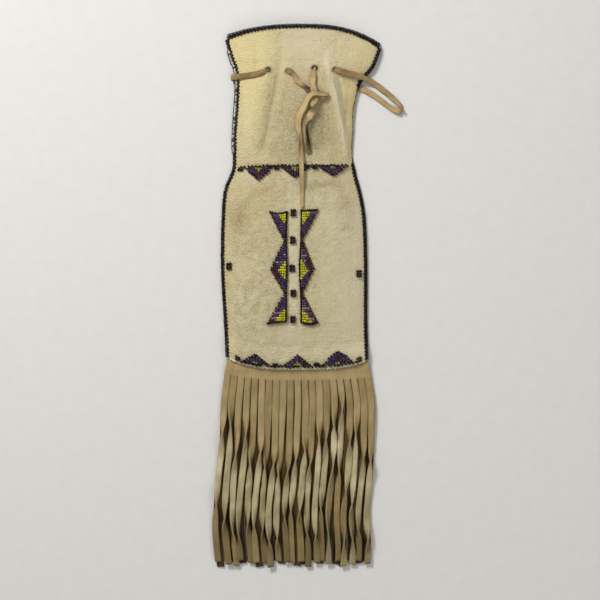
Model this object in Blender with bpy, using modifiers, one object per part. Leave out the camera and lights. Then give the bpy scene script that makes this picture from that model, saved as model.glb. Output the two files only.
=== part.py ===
# Pipe bag of pale hide with a beaded edge, beaded figures, a thong and a cut fringe.
# It lies on its back: +Z is up through the front, +Y runs towards the mouth and
# +X to the viewer's right. All sizes are in metres. The shapes are drawn from the
# middle of the bottom seam, and the whole is then centred on its own outline.

import math

import bmesh
import bpy
from mathutils import Vector
from mathutils.bvhtree import BVHTree

# Hide
HIDE_THICK = 0.0012
SEAT_GAP = 0.0003            # left between pieces that are sewn or laid together
BODY_REACH_LEFT = 0.0668     # from the bag's middle line to the side seams
BODY_REACH_RIGHT = 0.0658
NECK_REACH_LEFT = 0.0545
NECK_REACH_RIGHT = 0.0535
MOUTH_REACH_LEFT = 0.0628
MOUTH_REACH_RIGHT = 0.0790
SHOULDER_LOW = 0.1600        # heights above the bottom seam
SHOULDER_HIGH = 0.1880
FLARE_START = 0.2450
MOUTH_HEIGHT = 0.3195
MOUTH_DROP_LEFT = 0.0101     # how far the mouth's corners lie below its middle
MOUTH_DROP_RIGHT = 0.0180
MOUTH_BACK_LIP = 0.0023      # the back reaches a little past the front
CORNER_RISE_LEFT = 0.0100    # how far the bottom corners lie above the seam's middle
CORNER_RISE_RIGHT = 0.0075
BODY_DEPTH = 0.0110          # how far the front stands off its seams
NECK_DEPTH = 0.0088
NECK_LIFT = 0.0021           # the neck's back rides over the thong
MOUTH_LIFT = 0.0013

# Fringe
FRINGE_THICK = 0.0013
FRINGE_LENGTH = 0.1856       # bottom seam to the longest tip
FRINGE_STRIPS = 21
STRIP_CUT = 0.0005           # width of a cut between two strips
HEADER_TUCK = 0.0065         # header's height inside the seam
HEADER_DROP = 0.0089         # header's height below the seam
HEADER_RISE_LEFT = 0.0035    # how much higher its top corners reach
HEADER_RISE_RIGHT = 0.0015
TIP_SPREAD = 0.0075          # how much shorter the shortest strips are
ROOT_REACH_LEFT = 0.0655
ROOT_REACH_RIGHT = 0.0705
FRINGE_REACH_LEFT = 0.0765
FRINGE_REACH_RIGHT = 0.0750

# Beadwork
BEAD_ROW = 0.00234           # pitch of the bead rows
BEAD_LENGTH = 0.00175        # pitch of the beads in a row
BEAD_RISE = 0.0020           # how far the beads stand off the hide
BEAD_SEAT = 0.00045          # thread and slack between the beads and the hide
SCALLOP = 0.15 * BEAD_LENGTH # how far a row draws in between two ridges
ROW_DIP = 0.35 * BEAD_RISE   # how deep it lies there
EDGE_RADIUS = 0.00115        # beaded edging, a roll over the hide's edge
EDGE_PITCH = 0.0074          # one swelling for each pair of stitches
EDGE_SEAT = 0.0006           # thread between the edging and the hide's edge

# Thong
THONG_WIDTH = 0.0055
THONG_THICK = 0.0016
THONG_SAMPLES = 100
HOLE_HALF_LONG = 0.0040
HOLE_HALF_SHORT = 0.0043

NECK_MIDDLE = 0.5 * (SHOULDER_HIGH + FLARE_START)
FLARE = MOUTH_HEIGHT - FLARE_START
OUTLINE_LEFT = (
    (0.0, BODY_REACH_LEFT - 0.0050),
    (0.275 * SHOULDER_LOW, BODY_REACH_LEFT - 0.0028),
    (0.594 * SHOULDER_LOW, BODY_REACH_LEFT),
    (SHOULDER_LOW - 0.013, BODY_REACH_LEFT - 0.0008),
    (SHOULDER_LOW + 0.009, BODY_REACH_LEFT - 0.0032),
    (SHOULDER_HIGH, NECK_REACH_LEFT + 0.0018),
    (NECK_MIDDLE, NECK_REACH_LEFT + 0.0014),
    (FLARE_START + 0.255 * FLARE, NECK_REACH_LEFT - 0.0015),
    (FLARE_START + 0.483 * FLARE, NECK_REACH_LEFT - 0.0002),
    (FLARE_START + 0.624 * FLARE, MOUTH_REACH_LEFT - 0.0045),
    (MOUTH_HEIGHT - MOUTH_DROP_LEFT, MOUTH_REACH_LEFT),
)
OUTLINE_RIGHT = (
    (0.0, BODY_REACH_RIGHT + 0.0013),
    (0.275 * SHOULDER_LOW, BODY_REACH_RIGHT),
    (0.594 * SHOULDER_LOW, BODY_REACH_RIGHT),
    (SHOULDER_LOW - 0.017, BODY_REACH_RIGHT - 0.0018),
    (SHOULDER_LOW + 0.004, BODY_REACH_RIGHT - 0.0054),
    (SHOULDER_HIGH, NECK_REACH_RIGHT + 0.0010),
    (NECK_MIDDLE, NECK_REACH_RIGHT),
    (FLARE_START + 0.188 * FLARE, NECK_REACH_RIGHT + 0.0045),
    (FLARE_START + 0.349 * FLARE, NECK_REACH_RIGHT + 0.0078),
    (FLARE_START + 0.508 * FLARE, MOUTH_REACH_RIGHT - 0.0075),
    (FLARE_START + 0.617 * FLARE, MOUTH_REACH_RIGHT - 0.0037),
    (MOUTH_HEIGHT - MOUTH_DROP_RIGHT, MOUTH_REACH_RIGHT),
)
FRONT_PUFF = (
    (0.0, 0.0),
    (0.030, 0.6 * BODY_DEPTH),
    (0.065, BODY_DEPTH),
    (0.150, BODY_DEPTH),
    (SHOULDER_HIGH, NECK_DEPTH),
    (FLARE_START, NECK_DEPTH),
    (MOUTH_HEIGHT, NECK_DEPTH),
)
# The folds, the holes and the thong's route below are drawn for a neck of these
# heights and reaches, and follow the real ones.
DRAWN_HEIGHTS = (
    (0.0, 0.0),
    (0.1600, SHOULDER_LOW),
    (0.1880, SHOULDER_HIGH),
    (0.2450, FLARE_START),
    (0.3195, MOUTH_HEIGHT),
)
DRAWN_REACH_LEFT = 0.0545
DRAWN_REACH_RIGHT = 0.0535

# Folds of the front: upper end, lower end, half width and height of each.
FOLDS = (
    ((-0.013, 0.292), (-0.031, 0.200), 0.0060, -0.0019),
    ((-0.027, 0.280), (-0.041, 0.200), 0.0065, 0.0012),
    ((0.031, 0.294), (0.050, 0.200), 0.0055, 0.0026),
    ((0.024, 0.256), (0.041, 0.204), 0.0062, -0.0024),
    ((0.000, 0.310), (-0.004, 0.215), 0.0100, 0.0010),
    ((-0.018, 0.168), (-0.056, 0.130), 0.0080, -0.0012),
    ((0.012, 0.170), (0.046, 0.172), 0.0070, -0.0012),
)
FRONT_HOLES = ((-0.0252, 0.2788), (-0.0060, 0.2777), (0.0183, 0.2802), (0.0383, 0.2791))

# The thong's route, chosen by hand: across, up, what its height is measured from,
# height of its middle, and the way its face looks (0 up, -90 right, 180 down).
THONG_ROUTE = (
    (0.0122, 0.2018, "front", 0.0016, 350),
    (0.0122, 0.2085, "front", 0.0019, 335),
    (0.0108, 0.2160, "front", 0.0026, 312),
    (0.0100, 0.2235, "front", 0.0030, 298),
    (0.0104, 0.2300, "front", 0.0036, 262),
    (0.0138, 0.2356, "front", 0.0030, 196),
    (0.0176, 0.2402, "front", 0.0033, 166),
    (0.0184, 0.2448, "front", 0.0042, 92),
    (0.0168, 0.2492, "front", 0.0030, 8),
    (0.0180, 0.2556, "front", 0.0033, -4),
    (0.0170, 0.2640, "front", 0.0026, -8),
    (0.0168, 0.2707, "front", 0.0017, 6),
    (0.0174, 0.2755, "front", 0.0019, 0),
    (0.0183, 0.2800, "front", -0.0006, 0),
    (0.0203, 0.2840, "front", -0.0031, 0),
    (0.0268, 0.2838, "front", -0.0032, 0),
    (0.0332, 0.2806, "front", -0.0034, 0),
    (0.0383, 0.2791, "front", -0.0006, 0),
    (0.0433, 0.2777, "front", 0.0020, 0),
    (0.0514, 0.2758, "front", 0.0018, 0),
    (0.0607, 0.2740, "front", 0.0027, 0),
    (0.0668, 0.2718, "floor", 0.0060, 0),
    (0.0748, 0.2679, "floor", 0.0022, 0),
    (0.0832, 0.2618, "floor", 0.0011, 0),
    (0.0916, 0.2548, "floor", 0.0013, 0),
    (0.0986, 0.2478, "floor", 0.0028, -40),
    (0.1008, 0.2428, "floor", 0.0033, -90),
    (0.0965, 0.2424, "floor", 0.0029, -40),
    (0.0895, 0.2458, "floor", 0.0013, 0),
    (0.0813, 0.2520, "floor", 0.0010, 0),
    (0.0720, 0.2585, "floor", 0.0010, 0),
    (0.0626, 0.2632, "floor", 0.0010, 0),
    (0.0514, 0.2660, "floor", 0.0010, 0),
    (0.0250, 0.2681, "floor", 0.0010, 0),
    (0.0000, 0.2693, "floor", 0.0010, 0),
    (-0.0250, 0.2706, "floor", 0.0010, 0),
    (-0.0486, 0.2721, "floor", 0.0010, 0),
    (-0.0566, 0.2732, "floor", 0.0011, -20),
    (-0.0594, 0.2735, "floor", 0.0038, -90),
    (-0.0552, 0.2738, "floor", 0.0066, -170),
    (-0.0458, 0.2744, "front", 0.0016, -180),
    (-0.0365, 0.2754, "front", 0.0013, -180),
    (-0.0304, 0.2771, "front", 0.0020, -180),
    (-0.0252, 0.2788, "front", -0.0006, -180),
    (-0.0201, 0.2793, "front", -0.0031, -180),
    (-0.0112, 0.2787, "front", -0.0031, -180),
    (-0.0060, 0.2775, "front", -0.0006, -180),
    (-0.0014, 0.2744, "front", 0.0020, -180),
    (0.0037, 0.2684, "front", 0.0017, -192),
    (0.0086, 0.2632, "front", 0.0026, -132),
    (0.0154, 0.2592, "front", 0.0013, -176),
    (0.0243, 0.2581, "front", 0.0018, -160),
    (0.0310, 0.2560, "front", 0.0036, -90),
    (0.0243, 0.2562, "front", 0.0054, -20),
    (0.0178, 0.2568, "front", 0.0057, 0),
    (0.0126, 0.2530, "front", 0.0044, 16),
    (0.0090, 0.2450, "front", 0.0020, 26),
    (0.0056, 0.2361, "front", 0.0014, 4),
    (0.0040, 0.2267, "front", 0.0014, -4),
    (0.0050, 0.2146, "front", 0.0029, -42),
    (0.0057, 0.2043, "front", 0.0026, -16),
    (0.0063, 0.1949, "front", 0.0040, 0),
    (0.0065, 0.1865, "front", 0.0042, 0),
    (0.0068, 0.1781, "front", 0.0038, 0),
    (0.0070, 0.1678, "front", 0.0016, 0),
    (0.0072, 0.1585, "front", 0.0013, 0),
    (0.0074, 0.1512, "front", 0.0013, 0),
)


# Helpers

def ease(start, end, value):
    t = min(max((value - start) / (end - start), 0.0), 1.0)
    return t * t * (3.0 - 2.0 * t)


def through(stations, value):
    # Smooth curve through (position, height) stations, level past both ends.
    if value <= stations[0][0]:
        return stations[0][1]
    if value >= stations[-1][0]:
        return stations[-1][1]
    k = max(i for i in range(len(stations) - 1) if stations[i][0] <= value)
    (a, p), (b, q) = stations[k], stations[k + 1]
    step = b - a

    def slope(i):
        lo, hi = max(i - 1, 0), min(i + 1, len(stations) - 1)
        return (stations[hi][1] - stations[lo][1]) / (stations[hi][0] - stations[lo][0])

    t = (value - a) / step
    keep, move = (1 + 2 * t) * (1 - t) ** 2, t * t * (3 - 2 * t)
    lead, tail = t * (1 - t) ** 2, t * t * (t - 1)
    return keep * p + move * q + step * (lead * slope(k) + tail * slope(k + 1))


def straight(stations, value):
    for (a, p), (b, q) in zip(stations, stations[1:]):
        if value <= b:
            return p + (q - p) * min(max((value - a) / (b - a), 0.0), 1.0)
    return stations[-1][1]


def on_neck(x, y):
    # Where a point that is drawn on the neck lies on the real one.
    ratio = NECK_REACH_LEFT / DRAWN_REACH_LEFT if x < 0 else NECK_REACH_RIGHT / DRAWN_REACH_RIGHT
    return x * ratio, straight(DRAWN_HEIGHTS, y)


def new_collection(name):
    group = bpy.data.collections.new(name)
    bpy.context.scene.collection.children.link(group)
    return group


def finish(name, color, rough=0.8):
    # One plain surface for each piece.
    mat = bpy.data.materials.new(name)
    mat.use_nodes = True
    shader = mat.node_tree.nodes["Principled BSDF"]
    shader.inputs["Base Color"].default_value = (*color, 1.0)
    shader.inputs["Roughness"].default_value = rough
    shader.inputs["Metallic"].default_value = 0.0
    mat.diffuse_color = (*color, 1.0)
    return mat


def add_object(name, mesh, group, mat=None):
    obj = bpy.data.objects.new(name, mesh)
    group.objects.link(obj)
    if mat:
        mesh.materials.append(mat)
    obj.parent = ROOT
    return obj


def loft(name, rings, group, mat):
    # Closed skin over a row of sections that all have the same number of points.
    bm = bmesh.new()
    loops = [[bm.verts.new(p) for p in ring] for ring in rings]
    count = len(rings[0])
    for a, b in zip(loops, loops[1:]):
        for i in range(count):
            j = (i + 1) % count
            bm.faces.new((a[i], a[j], b[j], b[i]))
    bm.faces.new(loops[0])
    bm.faces.new(loops[-1])
    bmesh.ops.recalc_face_normals(bm, faces=bm.faces)
    mesh = bpy.data.meshes.new(name)
    bm.to_mesh(mesh)
    bm.free()
    return add_object(name, mesh, group, mat)


def sheet(name, rows, group, mat, thick, offset, facing_up=True):
    # Open surface over a grid of points; Solidify gives it the hide's thickness.
    bm = bmesh.new()
    grid = [[bm.verts.new(p) for p in row] for row in rows]
    for a, b in zip(grid, grid[1:]):
        for i in range(len(a) - 1):
            face = (a[i], a[i + 1], b[i + 1], b[i])
            bm.faces.new(face if facing_up else face[::-1])
    return solidified(name, bm, group, mat, thick, offset)


def solidified(name, bm, group, mat, thick, offset):
    mesh = bpy.data.meshes.new(name)
    bm.to_mesh(mesh)
    bm.free()
    obj = add_object(name, mesh, group, mat)
    shell = obj.modifiers.new("thickness", "SOLIDIFY")
    shell.thickness = thick
    shell.offset = offset
    return obj


def cut_with(obj, cutter):
    cut = obj.modifiers.new("hole", "BOOLEAN")
    cut.operation = "DIFFERENCE"
    cut.solver = "EXACT"
    cut.object = cutter
    cutter.hide_render = True
    cutter.display_type = "WIRE"


# Outline of the hide

def reach_left(y):
    return through(OUTLINE_LEFT, y)


def reach_right(y):
    return through(OUTLINE_RIGHT, y)


def across(x, y):
    # Place between the side seams, -1 at the left and 1 at the right.
    left, right = -reach_left(y), reach_right(y)
    return min(max((2 * x - left - right) / (right - left), -1.0), 1.0)


def place(u, y):
    left, right = -reach_left(y), reach_right(y)
    return 0.5 * (left + right) + 0.5 * u * (right - left)


def bottom_line(u):
    return (CORNER_RISE_LEFT if u < 0 else CORNER_RISE_RIGHT) * abs(u) ** 3


def mouth_line(u):
    return MOUTH_HEIGHT - (MOUTH_DROP_LEFT if u < 0 else MOUTH_DROP_RIGHT) * abs(u) ** 2.6


def back_height(y):
    up = NECK_LIFT * ease(SHOULDER_HIGH, SHOULDER_HIGH + 0.045, y)
    return up - (NECK_LIFT - MOUTH_LIFT) * ease(MOUTH_HEIGHT - 0.03, MOUTH_HEIGHT - 0.01, y)


def header_stack(above):
    # Room for both fringe headers, kept from the seam's edge to past the tuck.
    full = 2 * (FRINGE_THICK + SEAT_GAP)
    return full * (1.0 - ease(HEADER_TUCK + 0.0015, HEADER_TUCK + 0.016, above))


def fold_height(x, y):
    # Each fold is a soft ridge or groove beside the line between its two ends.
    total = 0.0
    for upper, lower, half, height in FOLDS:
        top, low = on_neck(*upper), on_neck(*lower)
        dx, dy = low[0] - top[0], low[1] - top[1]
        t = ((x - top[0]) * dx + (y - top[1]) * dy) / (dx * dx + dy * dy)
        t = min(max(t, 0.0), 1.0)
        gap = math.hypot(x - top[0] - t * dx, y - top[1] - t * dy)
        total += height * math.exp(-((gap / half) ** 2))
    return total


def front_height(x, y):
    u = across(x, y)
    seam = back_height(y) + 2 * HIDE_THICK + SEAT_GAP + header_stack(y - bottom_line(u))
    puff = through(FRONT_PUFF, y) * (1 - abs(u) ** 3.5)
    return seam + puff + fold_height(x, y) * (1 - u ** 4)


# Hide panels

# Levels of the panels' rows, as shares of the way from the bottom seam to the mouth:
# wide on the body, closer from the shoulders up and closest at the flare.
LEVELS = ([0.075 + 0.377 * k / 6 for k in range(6)] + [0.452 + 0.428 * k / 11 for k in range(11)]
          + [0.880 + 0.120 * k / 4 for k in range(5)])


def panel_points(height, columns, levels, lip=0.0):
    rows = []
    for v in levels:
        row = []
        for i in range(columns + 1):
            u = 2 * i / columns - 1
            low, high = bottom_line(u), mouth_line(u) + lip
            y = low + v * (high - low)
            x = place(u, y)
            row.append((x, y, height(x, y)))
        rows.append(row)
    return rows


def hole_cutter(name, x, y, group):
    bpy.ops.mesh.primitive_cylinder_add(vertices=10, radius=1.0, depth=2.0)
    cutter = bpy.context.object
    cutter.name = name
    for old in list(cutter.users_collection):
        old.objects.unlink(cutter)
    group.objects.link(cutter)
    for vert in cutter.data.vertices:
        vert.co.x *= HOLE_HALF_SHORT
        vert.co.y *= HOLE_HALF_LONG
        vert.co.z *= 0.05
    cutter.location = (x, y, 0.0)
    cutter.parent = ROOT
    return cutter


def build_front(parts, cutters):
    rows = panel_points(front_height, 16, [0.0, 0.022, 0.045] + LEVELS)
    mat = finish("cream hide front", (0.60, 0.51, 0.33))
    panel = sheet("front_panel", rows, parts, mat, HIDE_THICK, -1.0)
    for k, hole in enumerate(FRONT_HOLES):
        cut_with(panel, hole_cutter(f"front_hole_{k + 1}", *on_neck(*hole), cutters))
    return panel


def build_back(parts):
    rows = panel_points(lambda x, y: back_height(y), 6, [0.0, 0.3] + LEVELS[6:], MOUTH_BACK_LIP)
    mat = finish("cream hide back", (0.60, 0.51, 0.33))
    sheet("back_panel", rows, parts, mat, HIDE_THICK, -1.0, facing_up=False)


# Fringe

FRINGE_LEFT = (
    (-FRINGE_LENGTH, FRINGE_REACH_LEFT - 0.0040),
    (-0.160, FRINGE_REACH_LEFT - 0.0010),
    (-0.140, FRINGE_REACH_LEFT),
    (-0.105, FRINGE_REACH_LEFT - 0.0020),
    (-0.073, FRINGE_REACH_LEFT - 0.0053),
    (-0.030, ROOT_REACH_LEFT + 0.0037),
    (0.0, ROOT_REACH_LEFT),
    (HEADER_TUCK, ROOT_REACH_LEFT - 0.0017),
)
FRINGE_RIGHT = (
    (-FRINGE_LENGTH, FRINGE_REACH_RIGHT - 0.0045),
    (-0.165, FRINGE_REACH_RIGHT - 0.0035),
    (-0.135, FRINGE_REACH_RIGHT - 0.0045),
    (-0.093, FRINGE_REACH_RIGHT - 0.0010),
    (-0.057, FRINGE_REACH_RIGHT),
    (-0.030, FRINGE_REACH_RIGHT + 0.0005),
    (0.0, ROOT_REACH_RIGHT),
    (HEADER_TUCK, ROOT_REACH_RIGHT - 0.0011),
)


def root_line(u):
    return -HEADER_DROP + (0.0066 if u < 0 else 0.0030) * abs(u) ** 3


def header_top(u):
    return HEADER_TUCK + (HEADER_RISE_LEFT if u < 0 else HEADER_RISE_RIGHT) * abs(u) ** 3


def tip_line(strip):
    # Uneven tips: a slow and a quick wave over the strips.
    wave = 0.5 + 0.3 * math.sin(2.4 * strip + 0.6) + 0.2 * math.sin(5.1 * strip)
    return -FRINGE_LENGTH + TIP_SPREAD * wave


def strip_twist(strip, s, turned):
    # Half a turn on most front strips, each at its own place along the length. The
    # strips behind lie flat.
    if not turned:
        return 0.0
    begin = 0.36 + 0.10 * math.sin(1.9 * strip + 0.8)
    end = begin + 0.36 + 0.06 * math.sin(3.3 * strip)
    side = 1.0 if math.sin(2.7 * strip + 0.4) > 0 else -1.0
    flips = math.sin(4.3 * strip + 1.2) > -0.45
    amount = math.pi if flips else 0.35
    return side * amount * ease(begin, end, s)


def fringe_x(share, y):
    left, right = -through(FRINGE_LEFT, y), through(FRINGE_RIGHT, y)
    return left + share * (right - left)


def fringe_sheet(name, strips, stations, rest, turned, shade, parts):
    # Header of two rows of quads, then one ribbon for each strip below its cut.
    bm = bmesh.new()
    tucked = rest + HIDE_THICK + SEAT_GAP
    shares = [i / strips for i in range(strips + 1)]

    def header_row(level, height):
        row = []
        for share in shares:
            y = level(2 * share - 1)
            row.append(bm.verts.new((fringe_x(share, y), y, height)))
        return row

    top = header_row(header_top, tucked)
    lip = header_row(lambda u: max(root_line(u) + 0.0035, -0.0015), tucked)
    root = header_row(root_line, 0.5 * (rest + tucked))
    for a, b in ((root, lip), (lip, top)):
        for i in range(strips):
            bm.faces.new((a[i], a[i + 1], b[i + 1], b[i]))
    for k in range(strips):
        pair = (root[k], root[k + 1])
        share = (k + 0.5) / strips
        start, tip = root_line(2 * share - 1), tip_line(k + (0 if turned else 7))
        for s in stations:
            y = start + s * (tip - start)
            half = 0.5 * (fringe_x(1.0, y) - fringe_x(0.0, y)) / strips - 0.5 * STRIP_CUT
            turn = strip_twist(k, s, turned)
            sink = (1 - ease(0.0, 0.09, s)) * 0.5 * (tucked - rest)
            mid = Vector((fringe_x(share, y), y, rest + sink + half * abs(math.sin(turn))))
            arm = Vector((half * math.cos(turn), 0.0, half * math.sin(turn)))
            nxt = (bm.verts.new(mid - arm), bm.verts.new(mid + arm))
            bm.faces.new((nxt[0], nxt[1], pair[1], pair[0]))
            pair = nxt
    mat = finish(name.replace("_", " "), shade)
    return solidified(name, bm, parts, mat, FRINGE_THICK, 0.0)


def build_fringe(parts):
    below = 0.5 * FRINGE_THICK
    above = below + FRINGE_THICK + SEAT_GAP
    fringe_sheet("fringe_back", FRINGE_STRIPS - 1, (0.10, 0.55, 1.0), below, False,
                 (0.23, 0.15, 0.07), parts)
    fine = (0.09, 0.30, 0.40, 0.48, 0.56, 0.64, 0.73, 0.85, 1.0)
    fringe_sheet("fringe_front", FRINGE_STRIPS, fine, above, True, (0.34, 0.22, 0.10), parts)


# Beaded edging

def edging(name, route, parts, mat):
    # A roll along the edge that swells at each pair of stitches.
    length = sum((b - a).length for a, b in zip(route, route[1:]))
    count = 2 * max(2, round(length / EDGE_PITCH)) + 1
    rings = []
    for k in range(count):
        at, along = walk(route, length * k / (count - 1))
        side = along.cross(Vector((0, 0, 1))).normalized()
        up = side.cross(along)
        radius = EDGE_RADIUS * (1.0 if k % 2 else 0.72)
        ring = []
        for i in range(4):
            angle = math.pi * (i + 0.5) / 2
            ring.append(at + radius * (math.cos(angle) * side + math.sin(angle) * up))
        rings.append(ring)
    return loft(name, rings, parts, mat)


def walk(route, distance):
    # Point and direction at a distance along a line of points.
    for a, b in zip(route, route[1:]):
        step = (b - a).length
        if distance <= step or b is route[-1]:
            return a + (b - a) * min(distance / step, 1.0), (b - a).normalized()
        distance -= step
    return route[-1], (route[-1] - route[-2]).normalized()


def seam_route(side):
    # Just outside one side seam, half way up the two hides.
    off = EDGE_RADIUS + EDGE_SEAT
    low, high = bottom_line(side) + 0.0020, mouth_line(side) - 0.0030
    points = []
    steps = 60
    for k in range(steps + 1):
        y = low + (high - low) * k / steps
        x = place(side, y) + side * off
        seam = back_height(y) + HIDE_THICK + 0.5 * SEAT_GAP
        points.append(Vector((x, y, seam + 0.5 * header_stack(y - bottom_line(side)))))
    return points


def mouth_route(front):
    off = EDGE_RADIUS + EDGE_SEAT
    points = []
    steps = 40
    for k in range(steps + 1):
        u = 0.985 * (2 * k / steps - 1)
        y = mouth_line(u) + (0.0 if front else MOUTH_BACK_LIP)
        x = place(u, y)
        z = front_height(x, y) if front else back_height(y) + 0.5 * HIDE_THICK
        points.append(Vector((x, y + off, z)))
    return points


def build_edging(parts):
    black = (0.012, 0.011, 0.014)
    for name, route in (("left_seam_beads", seam_route(-1)), ("right_seam_beads", seam_route(1)),
                        ("mouth_beads_front", mouth_route(True)),
                        ("mouth_beads_back", mouth_route(False))):
        edging(name, route, parts, finish(name.replace("_", " "), black, 0.3))


# Beadwork

class Seat:
    # Finds the height of the finished front panel under a point.
    def __init__(self, panel):
        depsgraph = bpy.context.evaluated_depsgraph_get()
        self.tree = BVHTree.FromObject(panel, depsgraph)

    def height(self, x, y):
        hit = self.tree.ray_cast(Vector((x, y, 0.2)), Vector((0, 0, -1)))
        return hit[0].z if hit[0] and hit[1].z > 0.3 else front_height(x, y)


def whole_beads(width):
    return BEAD_LENGTH * max(1, round(width / BEAD_LENGTH))


def bead_rows(name, rows, seat, parts, mat, line=None, ridged=True):
    # A small field from rows (low, high, left, right). Ridged rows stand up and end
    # in scallops.
    line = line or (lambda x: 0.0)
    inset, dip = (SCALLOP, ROW_DIP) if ridged else (0.0, 0.0)
    stations = []
    for k, (low, high, left, right) in enumerate(rows):
        before = rows[k - 1] if k else rows[k]
        near_left, near_right = max(left, before[2]), min(right, before[3])
        stations.append((low, near_left + inset, near_right - inset, BEAD_RISE - dip))
        if ridged:
            stations.append((0.5 * (low + high), left, right, BEAD_RISE))
    last = rows[-1]
    stations.append((last[1], last[2] + inset, last[3] - inset, BEAD_RISE - dip))
    rings = []
    for y0, left, right, rise in stations:
        base = []
        for x in (left, right):
            y = y0 + line(x)
            base.append(Vector((x, y, seat.height(x, y) + BEAD_SEAT)))
        top = [p + Vector((0, 0, rise)) for p in reversed(base)]
        rings.append(base + top)
    return loft(name, rings, parts, mat)


def bead_field(name, rows, seat, parts, mat, line=None, longest=0.03):
    # One solid from rows that touch, each (low, high, spans). A span is (left, right);
    # two spans in a row leave the place of a core between them. Every row stands up
    # as a ridge and ends in scallops. Longest is the widest step along a row.
    line = line or (lambda x: 0.0)
    spots, tops, index = [], [], {}

    def spot(station, x, rise):
        key = (station, round(x, 6))
        if key not in index:
            index[key] = len(spots)
            level = rows[station // 2][0] if station < 2 * len(rows) else rows[-1][1]
            if station % 2:
                level = 0.5 * (rows[station // 2][0] + rows[station // 2][1])
            y = level + line(x)
            spots.append((x, y, seat.height(x, y) + BEAD_SEAT))
            tops.append(rise)
        return index[key], x

    def edge_marks(b):
        marks = set()
        for row in rows[max(b - 1, 0):b + 1]:
            for left, right in row[2]:
                marks |= {round(left + SCALLOP, 6), round(right - SCALLOP, 6)}
        ordered = sorted(marks)
        for p, q in zip(ordered, ordered[1:]):
            steps = math.ceil((q - p) / longest)
            marks |= {round(p + (q - p) * i / steps, 6) for i in range(1, steps)}
        return sorted(marks)

    marks = [edge_marks(b) for b in range(len(rows) + 1)]
    faces = []
    for k, (_, _, spans) in enumerate(rows):
        for left, right in spans:
            steps = math.ceil((right - left) / longest)
            ridge = [spot(2 * k + 1, left + (right - left) * i / steps, BEAD_RISE)
                     for i in range(steps + 1)]
            sides = []
            for b in (k, k + 1):
                sides.append([spot(2 * b, x, BEAD_RISE - ROW_DIP) for x in marks[b]
                              if left + SCALLOP - 1e-6 <= x <= right - SCALLOP + 1e-6])
            faces += between(sides[0], ridge) + between(ridge, sides[1])
    return field_solid(name, spots, tops, faces, parts, mat)


def between(near, far):
    # Triangles between two rows of points, taken in turn from left to right.
    faces, i, j = [], 0, 0
    while i < len(near) - 1 or j < len(far) - 1:
        if j == len(far) - 1 or (i < len(near) - 1 and near[i + 1][1] <= far[j + 1][1]):
            faces.append((near[i][0], near[i + 1][0], far[j][0]))
            i += 1
        else:
            faces.append((near[i][0], far[j + 1][0], far[j][0]))
            j += 1
    return faces


def field_solid(name, spots, tops, faces, parts, mat):
    # The flat faces become a top and a bottom, with walls along their open edges.
    bm = bmesh.new()
    low = [bm.verts.new(p) for p in spots]
    high = [bm.verts.new((x, y, z + rise)) for (x, y, z), rise in zip(spots, tops)]
    used = {}
    for face in faces:
        bm.faces.new([high[i] for i in face])
        bm.faces.new([low[i] for i in reversed(face)])
        for a, b in zip(face, face[1:] + face[:1]):
            key = (min(a, b), max(a, b))
            used[key] = used.get(key, 0) + 1
    for (a, b), count in used.items():
        if count == 1:
            bm.faces.new((high[a], high[b], low[b], low[a]))
    bmesh.ops.recalc_face_normals(bm, faces=bm.faces)
    mesh = bpy.data.meshes.new(name)
    bm.to_mesh(mesh)
    bm.free()
    return add_object(name, mesh, parts, mat)


class Figure:
    # A column of triangles and a diamond, as rows of whole beads that keep one
    # straight inner side. Heights and widths are those at the figure's top, waists,
    # tip and foot. Each of its three light cores has a low, middle and high end and
    # a width, and lies one bead outside the inner side.
    def __init__(self, name, side, inner, heights, widths, cores):
        self.name, self.side, self.inner = name, side, inner
        self.heights, self.widths, self.cores = heights, widths, cores

    def rows(self):
        stations = sorted(zip(self.heights, self.widths))
        count = round((stations[-1][0] - stations[0][0]) / BEAD_ROW)
        rows = []
        for k in range(count):
            low = stations[0][0] + k * BEAD_ROW
            width = whole_beads(straight(stations, low + 0.5 * BEAD_ROW))
            marks = [self.inner, self.inner + self.side * width]
            core = self.core_width(low + 0.5 * BEAD_ROW)
            if core:
                near = self.inner + self.side * BEAD_LENGTH
                marks += [near, near + self.side * (core + 2 * SEAT_GAP)]
            marks.sort()
            rows.append((low, low + BEAD_ROW, list(zip(marks[::2], marks[1::2]))))
        return rows

    def core_width(self, y):
        for low, middle, high, width in self.cores:
            if low < y < high:
                edge = (y - low) / (middle - low) if y < middle else (high - y) / (high - middle)
                return whole_beads(width * edge)
        return 0.0

    def core_rows(self, core):
        low, middle, high, width = core
        base = min(self.heights)
        rows = []
        first = math.ceil((low - base) / BEAD_ROW - 0.5)
        last = math.floor((high - base) / BEAD_ROW - 0.5)
        for k in range(first, last + 1):
            y = base + k * BEAD_ROW
            reach = self.core_width(y + 0.5 * BEAD_ROW)
            if reach:
                a = self.inner + self.side * (BEAD_LENGTH + SEAT_GAP)
                b = a + self.side * reach
                rows.append((y, y + BEAD_ROW, min(a, b), max(a, b)))
        rows[0] = (rows[0][0] + SEAT_GAP, *rows[0][1:])
        rows[-1] = (rows[-1][0], rows[-1][1] - SEAT_GAP, *rows[-1][2:])
        return rows


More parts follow.
